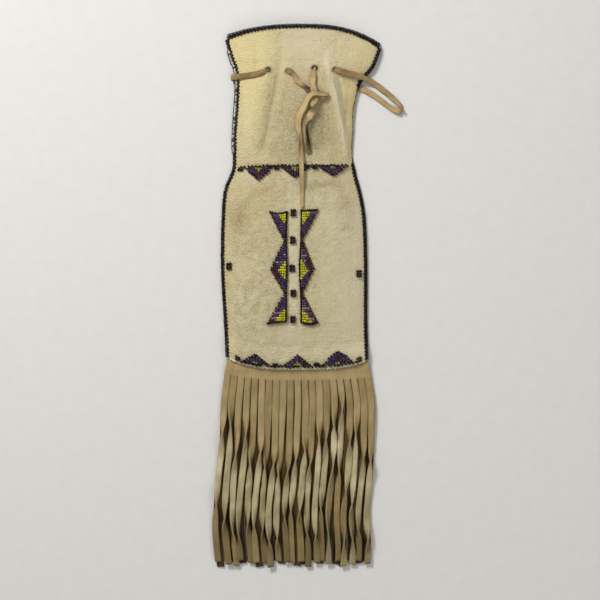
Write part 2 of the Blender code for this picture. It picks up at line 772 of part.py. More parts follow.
LEFT_FIGURE = Figure(
    "left_figure", -1, -0.0070,
    (0.0420, 0.0716, 0.0935, 0.1202, 0.1484), (0.0192, 0.0032, 0.0161, 0.0032, 0.0169),
    ((0.0450, 0.0490, 0.0575, 0.0095), (0.0840, 0.0930, 0.1015, 0.0075),
     (0.1350, 0.1430, 0.1465, 0.0055)))
RIGHT_FIGURE = Figure(
    "right_figure", 1, 0.0052,
    (0.0420, 0.0716, 0.0942, 0.1206, 0.1494), (0.0170, 0.0030, 0.0140, 0.0028, 0.0167),
    ((0.0445, 0.0485, 0.0570, 0.0085), (0.0845, 0.0935, 0.1025, 0.0062),
     (0.1360, 0.1430, 0.1475, 0.0075)))
CENTRE_BOXES = ((-0.0013, 0.1463), (-0.0018, 0.1207), (-0.0024, 0.0946), (-0.0013, 0.0712),
                (-0.0018, 0.0467))
SIDE_BOXES = ((-0.0616, 0.0966), (0.0603, 0.0896))


def build_figures(seat, parts):
    violet = (0.05, 0.02, 0.09)
    yellow = (0.52, 0.47, 0.02)
    for figure in (LEFT_FIGURE, RIGHT_FIGURE):
        bead_field(figure.name, figure.rows(), seat, parts,
                   finish(figure.name.replace("_", " "), violet, 0.3))
        for k, core in enumerate(figure.cores):
            name = f"{figure.name}_core_{k + 1}"
            bead_rows(name, figure.core_rows(core), seat, parts,
                      finish(name.replace("_", " "), yellow, 0.3), ridged=False)


def box_rows(x, y, beads=3, rows=3):
    left, low = x - 0.5 * beads * BEAD_LENGTH, y - 0.5 * rows * BEAD_ROW
    right = left + beads * BEAD_LENGTH
    return [(low + k * BEAD_ROW, low + (k + 1) * BEAD_ROW, left, right) for k in range(rows)]


def build_boxes(seat, parts):
    plum = (0.06, 0.03, 0.05)
    for k, (x, y) in enumerate(CENTRE_BOXES):
        bead_rows(f"centre_box_{k + 1}", box_rows(x, y), seat, parts,
                  finish(f"centre box {k + 1}", plum, 0.3))
    for name, (x, y) in zip(("side_box_left", "side_box_right"), SIDE_BOXES):
        bead_rows(name, box_rows(x, y), seat, parts, finish(name.replace("_", " "), plum, 0.3))


# Bead bands: each has one linking row, three triangles and small boxes.
UPPER_LINK = 0.1902
UPPER_SAG = 0.0012
UPPER_ENDS = (-0.0530, 0.0505)
LOWER_LINK = 0.0026
# Each triangle's middle, its width at the link and its number of rows.
UPPER_TRIANGLES = ((-0.0335, 0.0250, 5), (0.0005, 0.0262, 4), (0.0358, 0.0240, 4))
LOWER_TRIANGLES = ((-0.0366, 0.0235, 4), (0.0025, 0.0250, 4), (0.0400, 0.0285, 5))
UPPER_BOXES = (-0.0512, -0.0168, 0.0189)
LOWER_BOXES = (-0.0533, -0.0180, 0.0209, 0.0602)
BOX_WIDTH = 3 * BEAD_LENGTH
CORE_WIDTH = 0.0061


def upper_line(x):
    return UPPER_LINK - UPPER_SAG * (x / NECK_REACH_LEFT) ** 2 * (1 if x < 0 else -0.4)


def lower_line(x):
    u = x / (reach_left(0.0) if x < 0 else reach_right(0.0))
    return LOWER_LINK + bottom_line(max(min(u, 1.0), -1.0))


def band_rows(way, triangles, boxes, ends):
    # The linking row first, then the rows of all triangles and boxes beside it.
    rows = [(-0.5 * way * BEAD_ROW, 0.5 * way * BEAD_ROW, [ends])]
    for r in range(1, 1 + max(count for _, _, count in triangles)):
        spans = []
        for x, width, count in triangles:
            if r > count:
                continue
            half = 0.5 * whole_beads(width * (1 - r / (count + 1)))
            marks = [x - half, x + half]
            if r == 1:
                marks += [x - 0.5 * CORE_WIDTH, x + 0.5 * CORE_WIDTH]
            marks.sort()
            spans += zip(marks[::2], marks[1::2])
        if r == 1:
            spans += [(x - 0.5 * BOX_WIDTH, x + 0.5 * BOX_WIDTH) for x in boxes]
        rows.append((way * (r - 0.5) * BEAD_ROW, way * (r + 0.5) * BEAD_ROW, sorted(spans)))
    return rows


def band(name, line, way, triangles, boxes, ends, seat, parts, shades):
    dark, light = shades
    bead_field(name, band_rows(way, triangles, boxes, ends), seat, parts,
               finish(name.replace("_", " "), dark, 0.3), line, 0.0085)
    for k, (x, _, _) in enumerate(triangles):
        core_name = f"{name}_core_{k + 1}"
        half = 0.5 * CORE_WIDTH - SEAT_GAP
        low, high = way * (0.5 * BEAD_ROW + SEAT_GAP), way * (1.5 * BEAD_ROW - SEAT_GAP)
        bead_rows(core_name, [(low, high, x - half, x + half)], seat, parts,
                  finish(core_name.replace("_", " "), light, 0.3), line, ridged=False)


def build_bands(seat, parts):
    shades = ((0.02, 0.012, 0.03), (0.30, 0.38, 0.04))
    band("upper_band", upper_line, -1, UPPER_TRIANGLES, UPPER_BOXES, UPPER_ENDS, seat, parts,
         shades)
    ends = (LOWER_BOXES[0] - 0.5 * BOX_WIDTH, LOWER_BOXES[-1] + 0.5 * BOX_WIDTH)
    band("lower_band", lower_line, 1, LOWER_TRIANGLES, LOWER_BOXES, ends, seat, parts, shades)


# Thong

def curve_point(values, t):
    # Smooth curve through the route's points, at any share of the way.
    last = len(values) - 1
    k = min(int(t), last - 1)
    f = t - k
    p0, p1 = values[max(k - 1, 0)], values[k]
    p2, p3 = values[k + 1], values[min(k + 2, last)]
    out = []
    for a, b, c, d in zip(p0, p1, p2, p3):
        out.append(0.5 * (2 * b + (c - a) * f + (2 * a - 5 * b + 4 * c - d) * f * f
                          + (3 * b - a - 3 * c + d) * f ** 3))
    return out


def build_thong(seat, parts):
    values = []
    for drawn_x, drawn_y, rest, lift, turn in THONG_ROUTE:
        x, y = on_neck(drawn_x, drawn_y)
        base = seat.height(x, y) if rest == "front" else 0.0
        values.append((x, y, base + lift, math.radians(turn)))
    samples = []
    for k in range(THONG_SAMPLES):
        samples.append(curve_point(values, (len(values) - 1) * k / (THONG_SAMPLES - 1)))
    rings = []
    for k, (x, y, z, turn) in enumerate(samples):
        before, after = samples[max(k - 1, 0)], samples[min(k + 1, THONG_SAMPLES - 1)]
        along = (Vector(after[:3]) - Vector(before[:3])).normalized()
        face = Vector((-math.sin(turn), 0.0, math.cos(turn)))
        side = along.cross(face).normalized()
        face = side.cross(along)
        taper = 1.0 - 0.25 * ease(THONG_SAMPLES - 16, THONG_SAMPLES - 1, k)
        wide, thick = 0.5 * THONG_WIDTH * taper, 0.5 * THONG_THICK
        at = Vector((x, y, z))
        rings.append([at - wide * side - thick * face, at + wide * side - thick * face,
                      at + wide * side + thick * face, at - wide * side + thick * face])
    return loft("thong", rings, parts, finish("thong leather", (0.29, 0.18, 0.07)))


# Assembly

def centre_on_origin(parts):
    # Middle of the whole outline, the loose thong apart, over the origin.
    bpy.context.view_layer.update()
    depsgraph = bpy.context.evaluated_depsgraph_get()
    corners = []
    for obj in parts.objects:
        if obj.type == "MESH" and obj.name != "thong":
            mesh = obj.evaluated_get(depsgraph).to_mesh()
            corners += [obj.matrix_world @ v.co for v in mesh.vertices]
    for axis in (0, 1):
        low = min(p[axis] for p in corners)
        high = max(p[axis] for p in corners)
        ROOT.location[axis] = -0.5 * (low + high)


for old in list(bpy.data.objects):
    bpy.data.objects.remove(old, do_unlink=True)
PARTS = new_collection("pipe bag")
CUTTERS = new_collection("cutters")
CUTTERS.hide_render = True
ROOT = bpy.data.objects.new("bag frame", None)
PARTS.objects.link(ROOT)
FRONT = build_front(PARTS, CUTTERS)
build_back(PARTS)
build_fringe(PARTS)
build_edging(PARTS)
SEAT = Seat(FRONT)
build_figures(SEAT, PARTS)
build_boxes(SEAT, PARTS)
build_bands(SEAT, PARTS)
build_thong(SEAT, PARTS)
centre_on_origin(PARTS)
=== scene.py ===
# Pipe bag: detailed hide, beads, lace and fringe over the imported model.
# Lengths are in metres, and in millimetres inside metres() and where a table's note says
# so. Shapes are drawn from the middle of the bottom seam, with +Y to the mouth, and moved
# by shift into the frame.
import math

import bpy
import numpy as np
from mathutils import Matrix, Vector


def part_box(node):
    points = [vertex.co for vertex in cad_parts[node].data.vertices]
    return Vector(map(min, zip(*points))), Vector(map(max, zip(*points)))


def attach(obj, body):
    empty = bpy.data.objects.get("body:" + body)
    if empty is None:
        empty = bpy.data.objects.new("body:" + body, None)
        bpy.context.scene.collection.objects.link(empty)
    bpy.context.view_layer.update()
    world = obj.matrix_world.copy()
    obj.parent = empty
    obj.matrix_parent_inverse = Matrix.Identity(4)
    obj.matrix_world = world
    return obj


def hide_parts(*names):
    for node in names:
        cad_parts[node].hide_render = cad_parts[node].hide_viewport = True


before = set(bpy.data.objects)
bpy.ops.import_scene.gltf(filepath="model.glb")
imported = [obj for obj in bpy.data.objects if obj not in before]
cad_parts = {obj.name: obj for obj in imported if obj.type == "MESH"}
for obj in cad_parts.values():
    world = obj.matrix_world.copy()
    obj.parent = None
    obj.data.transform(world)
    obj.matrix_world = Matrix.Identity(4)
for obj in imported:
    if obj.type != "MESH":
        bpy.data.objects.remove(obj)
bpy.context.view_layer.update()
panelLow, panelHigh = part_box("front_panel")
shift = np.array([panelHigh[0] - 0.079, panelLow[1], 0.0])


# Tables, curves and grids

def metres(table):   # the millimetres of a table, and of the tables in it, in metres
    return tuple(metres(row) if isinstance(row, tuple) else 0.001 * row for row in table)


def columns(*values):   # values of any shape, side by side as the columns of one table
    return np.stack(np.broadcast_arrays(*values), -1).reshape(-1, len(values))


def unit(rows):
    return rows / np.maximum(np.linalg.norm(rows, axis=-1, keepdims=True), 1e-12)


def ease(start, end, value):   # smooth step from 0 at start to 1 at end
    t = np.clip((value - start) / (end - start), 0.0, 1.0)
    return t * t * (3.0 - 2.0 * t)


def bell(value, middle, half):   # 1 at the middle, falling off over half
    return np.exp(-((value - middle) / half) ** 2)


def through(stations, value):
    # Cubic through (position, height) stations with the slope of each one's
    # neighbours, level past both ends.
    at, height = np.array(stations, float).T
    value = np.clip(value, at[0], at[-1])
    k = np.clip(np.searchsorted(at, value, side="right") - 1, 0, len(at) - 2)
    before = np.maximum(np.arange(len(at)) - 1, 0)
    after = np.minimum(np.arange(len(at)) + 1, len(at) - 1)
    slope = (height[after] - height[before]) / (at[after] - at[before])
    step = at[k + 1] - at[k]
    t = (value - at[k]) / step
    keep, move = (1 + 2 * t) * (1 - t) ** 2, t * t * (3 - 2 * t)
    lead, tail = t * (1 - t) ** 2, t * t * (t - 1)
    return (keep * height[k] + move * height[k + 1]
            + step * (lead * slope[k] + tail * slope[k + 1]))


def gridFaces(rows, wide, first=0, flip=False):
    # Quads over a grid of points, row after row.
    i, j = np.meshgrid(np.arange(rows - 1), np.arange(wide - 1), indexing="ij")
    a = first + i * wide + j
    quads = np.stack([a, a + 1, a + wide + 1, a + wide], -1).reshape(-1, 4)
    return quads[:, ::-1] if flip else quads


def tubeFaces(rings, around, closed):
    # Quads round a tube of rings, and from the last ring to the first where it is closed.
    p, a = np.meshgrid(np.arange(rings - 1 + closed), np.arange(around), indexing="ij")
    q, b = (p + 1) % rings, (a + 1) % around
    corners = [p * around + a, p * around + b, q * around + b, q * around + a]
    return np.stack(corners, -1).reshape(-1, 4)


def makePiece(name, points, faces, finishes, stands, values=(), tints=None, caps=()):
    # A mesh from arrays, at its place in the frame, that stands for CAD nodes. Its values
    # and tints are kept in attributes.
    mesh = bpy.data.meshes.new(name)
    mesh.from_pydata((points + shift).reshape(-1, 3).tolist(), [], faces.tolist() + list(caps))
    for finish in finishes:
        mesh.materials.append(finish)
    for label in values:
        data = np.broadcast_to(values[label], points.shape[:-1]).ravel()
        mesh.attributes.new(label, "FLOAT", "POINT").data.foreach_set("value", data)
    if tints is not None:
        data = mesh.attributes.new("tint", "FLOAT_COLOR", "POINT").data
        data.foreach_set("color", columns(*tints.T, 1.0).ravel())
    mesh.shade_smooth()
    piece = bpy.data.objects.new(name, mesh)
    bpy.context.scene.collection.objects.link(piece)
    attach(piece, "root")
    if stands:
        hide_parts(*stands)
    print("made", name, len(mesh.polygons), "faces")
    return piece


def thicken(piece, thick, offset, reverse=0):   # reverse is the inner side's material
    shell = piece.modifiers.new("thickness", "SOLIDIFY")
    shell.thickness = thick
    shell.offset = offset
    shell.material_offset = reverse
    shell.use_even_offset = True


# Finishes

def tone(red, green, blue):   # a screen colour as the shader's light values
    return tuple(c / 12.92 / 255 if c < 10.3 else ((c / 255 + 0.055) / 1.055) ** 2.4
                 for c in (red, green, blue))


class Signal:
    # A socket that takes part in sums: every operator adds one Math node.
    def __init__(self, finish, socket):
        self.finish, self.socket = finish, socket

    def sums(self, operation, first, second):
        return self.finish.node("ShaderNodeMath", {"operation": operation}, {0: first, 1: second})

    def __add__(self, other):
        return self.sums("ADD", self, other)

    def __sub__(self, other):
        return self.sums("SUBTRACT", self, other)

    def __rsub__(self, other):
        return self.sums("SUBTRACT", other, self)

    def __mul__(self, other):
        return self.sums("MULTIPLY", self, other)

    __radd__, __rmul__ = __add__, __mul__


class Finish:
    # One material with its nodes.
    def __init__(self, name, roughness, **constants):
        self.material = bpy.data.materials.new(name)
        self.material.use_nodes = True
        self.tree = self.material.node_tree
        self.shader = self.tree.nodes["Principled BSDF"]
        self.shader.inputs["Roughness"].default_value = roughness
        for socket, value in constants.items():
            self.shader.inputs[socket.replace("_", " ")].default_value = value
        self.place = self.node("ShaderNodeTexCoord", output="Object")

    def node(self, kind, settings=None, sockets=None, output=0):
        made = self.tree.nodes.new(kind)
        for name, value in (settings or {}).items():
            setattr(made, name, value)
        for name, value in (sockets or {}).items():
            self.put(made.inputs[name], value)
        return Signal(self, made.outputs[output])

    def put(self, socket, value):
        if isinstance(value, Signal):
            self.tree.links.new(value.socket, socket)
        elif socket.type == "RGBA":
            socket.default_value = (*value, 1.0)
        else:
            socket.default_value = value

    def noise(self, scale, detail=3.0, roughness=0.55, stretch=None):
        place = self.place
        if stretch:
            place = self.node("ShaderNodeMapping", {"vector_type": "POINT"},
                              {"Vector": place, "Scale": stretch})
        sockets = {"Vector": place, "Scale": scale, "Detail": detail, "Roughness": roughness}
        return self.node("ShaderNodeTexNoise", None, sockets)

    def between(self, value, low, high):   # smooth mask, 0 at low and 1 at high
        return self.node("ShaderNodeMapRange", {"interpolation_type": "SMOOTHSTEP"},
                         {0: value, 1: low, 2: high, 3: 0.0, 4: 1.0})

    def carried(self, label, output="Fac"):   # what the mesh carries
        return self.node("ShaderNodeAttribute", {"attribute_name": label}, output=output)

    def mix(self, share, first, second):
        sockets = {0: share, 6: first, 7: second}
        return self.node("ShaderNodeMix", {"data_type": "RGBA"}, sockets, 2)

    def colour(self, value):
        self.put(self.shader.inputs["Base Color"], value)

    def relief(self, height, depth, strength):   # depth is the height of 1, in metres
        sockets = {"Strength": strength, "Distance": depth, "Height": height}
        self.put(self.shader.inputs["Normal"], self.node("ShaderNodeBump", None, sockets))


# Camera, lamps and floor

view = {
    "middle": (0.00292, -0.00447),   # what the picture's middle looks at
    "width": 0.561,                  # covered by the picture at the bag's height
    "level": 0.008,
    "lens": 100.0,
    "sensor": 36.0,
    "worldLevel": 0.38,
    "floorHalf": 2.4,
    "lamps": {   # place, power and size of each; all look at the frame's middle
        "key": ((-0.75, 1.05, 1.15), 23.0, (0.45, 0.4)),
        "fill": ((0.9, -0.7, 1.3), 4.4, (0.9, 0.9)),
    },
}


def addLamp(name, place, power, size):
    lamp = bpy.data.lights.new(name, "AREA")
    lamp.energy = power
    lamp.shape = "RECTANGLE"
    lamp.size, lamp.size_y = size
    obj = bpy.data.objects.new(name, lamp)
    bpy.context.scene.collection.objects.link(obj)
    obj.location = x, y, z = place
    obj.rotation_euler = (math.atan2(math.hypot(x, y), z), 0.0, math.atan2(x, -y))


def setStage():
    scene = bpy.context.scene
    camera = bpy.data.objects.new("camera", bpy.data.cameras.new("camera"))
    scene.collection.objects.link(camera)
    camera.data.lens = view["lens"]
    camera.data.sensor_width = view["sensor"]
    camera.data.clip_end = 20.0
    distance = view["width"] * view["lens"] / view["sensor"]
    camera.location = (*view["middle"], view["level"] + distance)
    scene.camera = camera
    scene.view_settings.view_transform = "Standard"

    world = bpy.data.worlds.new("studio")
    scene.world = world
    world.use_nodes = True
    sky = world.node_tree.nodes["Background"]
    sky.inputs["Color"].default_value = (1.0, 0.99, 0.97, 1.0)
    sky.inputs["Strength"].default_value = view["worldLevel"]
    for name, lamp in view["lamps"].items():
        addLamp(name, *lamp)

    half = view["floorHalf"]
    mesh = bpy.data.meshes.new("floor")
    mesh.from_pydata([(-half, -half, 0), (half, -half, 0), (half, half, 0), (-half, half, 0)],
                     [], [(0, 1, 2, 3)])
    floor = bpy.data.objects.new("floor", mesh)
    scene.collection.objects.link(floor)
    cloth = Finish("pale floor", 0.9)
    grain = cloth.noise(90.0, 2.0)
    cloth.colour(cloth.mix(grain, tone(214, 212, 208), tone(222, 220, 216)))
    mesh.materials.append(cloth.material)
    print("stage set")


setStage()


# The bag's own form

bag = {
    "hideThick": 0.0012,
    "seatGap": 0.0003,
    "mouthHeight": 0.3195,
    "mouthDrop": (0.0101, 0.018),
    "backLip": 0.0023,
    "cornerRise": (0.01, 0.0075),
    "headerStack": 0.0032,
    "headerTuck": 0.0065,
    "headerRise": (0.0035, 0.0015),
    "neckLift": 0.0021,
    "mouthLift": 0.0013,
    "outlineLeft": metres((
        (0, 61.8), (44, 64), (95.04, 66.8), (147, 66), (169, 63.6), (188, 56.3), (216.5, 55.9),
        (264, 53), (281, 54.3), (291.5, 58.3), (309.4, 62.8),
    )),
    "outlineRight": metres((
        (0, 67.1), (44, 65.8), (95.04, 65.8), (143, 64), (164, 60.4), (188, 54.5), (216.5, 53.5),
        (259, 58), (271, 61.3), (282.8, 71.5), (291, 75.3), (301.5, 79),
    )),
    "puff": metres(((0, 0), (30, 6.6), (65, 11), (150, 11), (188, 8.8), (245, 8.8), (319.5, 8.8))),
    "holes": metres(((-25, 279.5), (-6, 278), (18.6, 281), (38.3, 279.3))),
    "holeHalf": (0.003, 0.0026),
    "holeRim": 0.0004,   # how far a lacing hole's rim stands up
    "rows": 300,         # of the front's grid
    "columns": 144,
    "backRows": 150,
    "backColumns": 72,
    "backSeat": 0.00005,
    "flatWidth": 0.156,
    "edgeTuck": (0.0003, -0.0008),   # where the right neck edge turns under
    "edgeRoll": 0.0016,
}

# Creases: the points that each follows, its half width and its height.
creases = metres((
    (((-11, 302), (-33, 192)), 4.5, -1.5), (((-26, 288), (-42, 192)), 6, 1.2),
    (((28, 304), (38, 258), (45.5, 222), (52.5, 190)), 4.5, 2.4),
    (((22, 264), (43, 196)), 6, -2.4), (((1, 318), (-5, 205)), 10, 1),
    (((-14, 172), (-60, 126)), 8, -1.3), (((8, 170), (52, 171)), 7, -1.3),
    (((-13.1, 289.4), (-17.8, 261.3), (-25.2, 223.9), (-30.9, 200.6)), 1.8, -1.3),
    (((-7.5, 261.3), (-12.2, 238.9), (-14.5, 222.1)), 2.6, -0.8),
    (((-44.9, 266), (-44.9, 191.2)), 3.6, 1), (((-50, 270), (-49.2, 201)), 2.2, -0.7),
    (((29, 295), (32.8, 273.4), (37.9, 260), (41.5, 242), (45.2, 225.9), (47.7, 211.2),
      (49.8, 193)), 2, 2.2),
    (((40.5, 276), (45, 256), (48.2, 238), (49.7, 220)), 1.6, -1.4),
    (((33.7, 252), (38.3, 233.3), (43, 215.5), (46.3, 200.6)), 2.6, -1.1),
    (((20.5, 246), (25, 199)), 8, -2.1), (((12, 223), (24, 201)), 3, -0.7),
    (((-13.1, 317.4), (-13.1, 289.4)), 3, -0.9), (((20, 315), (24, 290)), 4, 0.6),
    (((39.3, 310), (39.3, 296.9)), 2.2, -0.7), (((66, 298.7), (65, 289.4)), 2.2, -0.6),
    (((-40, 306), (-36, 283)), 4, -0.5),
    (((-11.2, 170.6), (-38.7, 161.3), (-51.4, 142.6), (-58, 123.9)), 3.8, -1.2),
    (((-15, 160), (-33, 153), (-44, 138)), 4.5, 0.7),
    (((8, 168), (29, 171), (40, 172.5), (48.6, 161.3), (56, 148)), 3.4, -1.4),
    (((23, 161), (39, 161), (48, 149)), 4.5, 0.7), (((58, 150), (50, 133), (38, 126)), 3.5, -0.7),
    (((43.9, 133.2), (62.6, 127.6)), 2.6, -0.6), (((-58.9, 21), (-46.8, 15.4)), 2.4, -0.5),
    (((-30.9, 23.8), (-5.6, 21)), 2.6, -0.5),
))


def seams(y):   # where the left seam and the right one lie
    return -through(bag["outlineLeft"], y), through(bag["outlineRight"], y)


def across(x, y):   # -1 at the left seam, 1 at the right
    left, right = seams(y)
    return np.clip((2 * x - left - right) / (right - left), -1, 1)


def place(u, y):
    left, right = seams(y)
    return 0.5 * (left + right) + 0.5 * u * (right - left)


def bottomLine(u):
    return np.where(u < 0, *bag["cornerRise"]) * np.abs(u) ** 3


def mouthLine(u):
    return bag["mouthHeight"] - np.where(u < 0, *bag["mouthDrop"]) * np.abs(u) ** 2.6


def backHeight(y):
    up = bag["neckLift"] * ease(0.188, 0.233, y)
    return up - (bag["neckLift"] - bag["mouthLift"]) * ease(0.2895, 0.3095, y)


def headerStack(above):   # the fringe's headers lift the hide above the bottom seam
    tuck = bag["headerTuck"]
    return bag["headerStack"] * (1 - ease(tuck + 0.0015, tuck + 0.016, above))


def creaseHeight(x, y, points, half, height):
    # A soft groove or ridge: height times a bell of the distance to a line of points,
    # fading out towards the line's ends.
    nearest = np.full(np.broadcast(x, y).shape, 1.0)
    at, run = np.zeros_like(nearest), 0
    for (ax, ay), (bx, by) in zip(points, points[1:]):
        dx, dy = bx - ax, by - ay
        t = np.clip(((x - ax) * dx + (y - ay) * dy) / (dx * dx + dy * dy), 0, 1)
        gap = np.hypot(x - ax - t * dx, y - ay - t * dy)
        at = np.where(gap < nearest, run + t * math.hypot(dx, dy), at)
        nearest = np.minimum(nearest, gap)
        run += math.hypot(dx, dy)
    fade = ease(0, 0.22, at / run) * (1 - ease(0.8, 1, at / run))
    return height * fade * bell(nearest, 0, half)


def ripples(x, y, seed, waves, short, long):
    # Sum of sine waves in random directions, between -1 and 1 or so.
    source = np.random.default_rng(seed)
    total = np.zeros(np.broadcast(x, y).shape)
    for _ in range(waves):
        turn, phase = source.uniform(0, 2 * np.pi, 2)
        pitch = source.uniform(short, long)
        total += np.sin(2 * np.pi * (x * np.cos(turn) + y * np.sin(turn)) / pitch + phase)
    return total / np.sqrt(waves)


def frontHeight(x, y):
    # Seam height, plus a crown that falls off towards the side seams, plus creases and
    # two sizes of ripples.
    u = across(x, y)
    seam = (backHeight(y) + 2 * bag["hideThick"] + bag["seatGap"]
            + headerStack(y - bottomLine(u)))
    crown = through(bag["puff"], y) * (1 - np.abs(u) ** 3.5)
    folds = sum(creaseHeight(x, y, *crease) for crease in creases)
    folds = folds + 0.0002 * ripples(x, y, 5, 9, 0.014, 0.045)
    folds = folds + 0.00007 * ripples(x, y, 6, 14, 0.005, 0.011)
    return seam + crown + folds * (1 - u ** 4)


def tuckedSide(y):   # how far the right neck edge turns under, 0 to 1
    return ease(0.186, 0.2, y) * (1 - ease(0.256, 0.272, y))


def rolledEdge(y):   # how far the right neck edge rolls in
    return bag["edgeRoll"] * bell(y, 0.243, 0.011)


def hideFinish(name, inside=False):
    hide = Finish(name, 0.92, Specular_IOR_Level=0.2)
    blotch, cloud = hide.noise(30, 4), hide.noise(140, 4, 0.65)
    speck = hide.noise(1000, 3, 0.7)
    warm, pale, soilAndShade = (hide.carried(label) for label in ("warm", "pale", "soilAndShade"))
    cream = hide.mix(hide.between(cloud, 0.36, 0.66), tone(193, 177, 134), tone(226, 213, 171))
    pores = hide.between(speck, 0.56, 0.68)
    naps = hide.between(hide.noise(700, 2), 0.35, 0.65)
    layers = [(hide.between(blotch, 0.4, 0.66) * 0.65, (207, 189, 141)),
              (warm * (0.25 + 1.2 * blotch), (246, 226, 160)),
              # The pale layer is partly painted light, along ridge tops and on the right of the
              # body.
              (pale * 0.8, (238, 225, 188)),
              # The grey-brown layer is partly painted shade, in the hollows of the creases and
              # beside the knot.
              (soilAndShade * (0.3 + 0.9 * cloud), (150, 128, 84)),
              (pores * (0.21 + 0.55 * soilAndShade + 0.18 * cloud), (112, 96, 62)),
              (naps * 0.5, (236, 223, 183))]
    if inside:
        layers.append((0.35, (176, 160, 118)))
    for share, shade in layers:
        cream = hide.mix(share, cream, tone(*shade))
    hide.colour(cream)
    wrinkle = hide.noise(230, 4, 0.6)
    hide.relief(0.36 * wrinkle + 0.72 * hide.noise(700, 3, 0.7) + 0.25 * speck, 0.0036, 1)
    return hide.material


def openHoles(x, y, rows, wide):
    # Round each lacing hole, the faces of a small block go, and the points around it
    # move out from the hole's middle onto rings that fade into the grid. Block and fade
    # are counted in steps of the grid.
    block, fade = 2.5, 8.5
    i, j = np.meshgrid(np.arange(rows + 1), np.arange(wide + 1), indexing="ij")
    keep = np.ones((rows, wide), bool)
    rim = np.zeros_like(x)
    halfX, halfY = bag["holeHalf"]
    for holeX, holeY in bag["holes"]:
        u = across(holeX, holeY)
        low = bottomLine(u)
        v = (holeY - low) / (mouthLine(u) - low)
        ic = math.floor(v * rows) + 0.5
        jc = math.floor((u + 1) / 2 * wide) + 0.5
        a, b = (j - jc) * 0.9, (i - ic) * 1.06
        m = np.maximum(np.abs(j - jc), np.abs(i - ic))
        reach, out = np.hypot(a, b), np.maximum(m - block, 0)
        ring = 1 + out * 0.36
        blend = 1 - ease(block, fade, m)
        x = x + blend * (holeX + halfX * a / reach * ring - x)
        y = y + blend * (holeY + halfY * b / reach * ring - y)
        rim += bell(out, 0, 2.2) * (m < fade + 0.5)
        fi, fj = i[:-1, :-1] + 0.5, j[:-1, :-1] + 0.5
        keep &= ~((np.abs(fi - ic) < block) & (np.abs(fj - jc) < block))
    return x, y, keep, rim


# Patches of the front: across, up, half width and half height in millimetres, and amount.
# The warm ones are stains. Many pale ones are painted light: on the right of the neck and
# body, and between the figures and under the upper band against the beads' shade. The
# grey-brown ones are painted shade, along creases, on the body's folds and beside the knot.
stainsAndPaintedLight = {
    "warm": (
        (-11.2, 290, 1.6, 20, 0.55), (-37.4, 289.4, 2.2, 20, 0.4), (-43, 242.6, 4, 30, 0.45),
        (37.4, 301.5, 3, 13, 0.6), (55.2, 256.7, 3, 25, 0.6), (-46, 150, 16, 26, 0.35),
    ),
    "pale": (
        (56, 298, 20, 18, 0.5), (47, 67, 22, 35, 0.3), (-1, 95, 7.5, 65, 1.25),
        (-10, 25, 50, 18, 0.45), (-40, 181, 13, 6, 0.7), (35, 180, 20, 5, 0.5),
        (59, 115, 4.5, 50, 0.8), (-50, 95, 10, 12, 0.45), (31, 140, 14, 10, 0.35),
    ),
    "soilAndShade": (
        (-37.4, 288, 1.4, 12, 0.22), (-11.5, 295, 1, 16, 0.18), (48, 244.5, 1.6, 15, 0.55),
        (51.4, 205.2, 2, 12, 0.35), (37.4, 303.4, 1.6, 12, 0.25), (23.5, 228.6, 7.5, 22, 0.4),
        (-53, 142, 12, 20, 0.62), (48.6, 154, 13, 9, 0.42), (52, 132.3, 8, 6, 0.22),
        (-42, 16, 13, 1.3, 0.25),
    ),
}


def hideGrid(rows, wide, lip):
    # Points between the side seams, the bottom line and the mouth line moved up by lip.
    u = np.linspace(-1, 1, wide + 1)[None, :]
    low, high = bottomLine(u), mouthLine(u) + lip
    y = low + np.linspace(0, 1, rows + 1)[:, None] * (high - low)
    return place(np.broadcast_to(u, y.shape), y), y


def layHide(piece, tall, y):   # thickens the hide; the flat area, the mean width at y times tall, is worked out and not used
    thicken(piece, bag["hideThick"], -1)
    left, right = seams(y)
    area = float(np.sum(right - left) * tall / len(y))


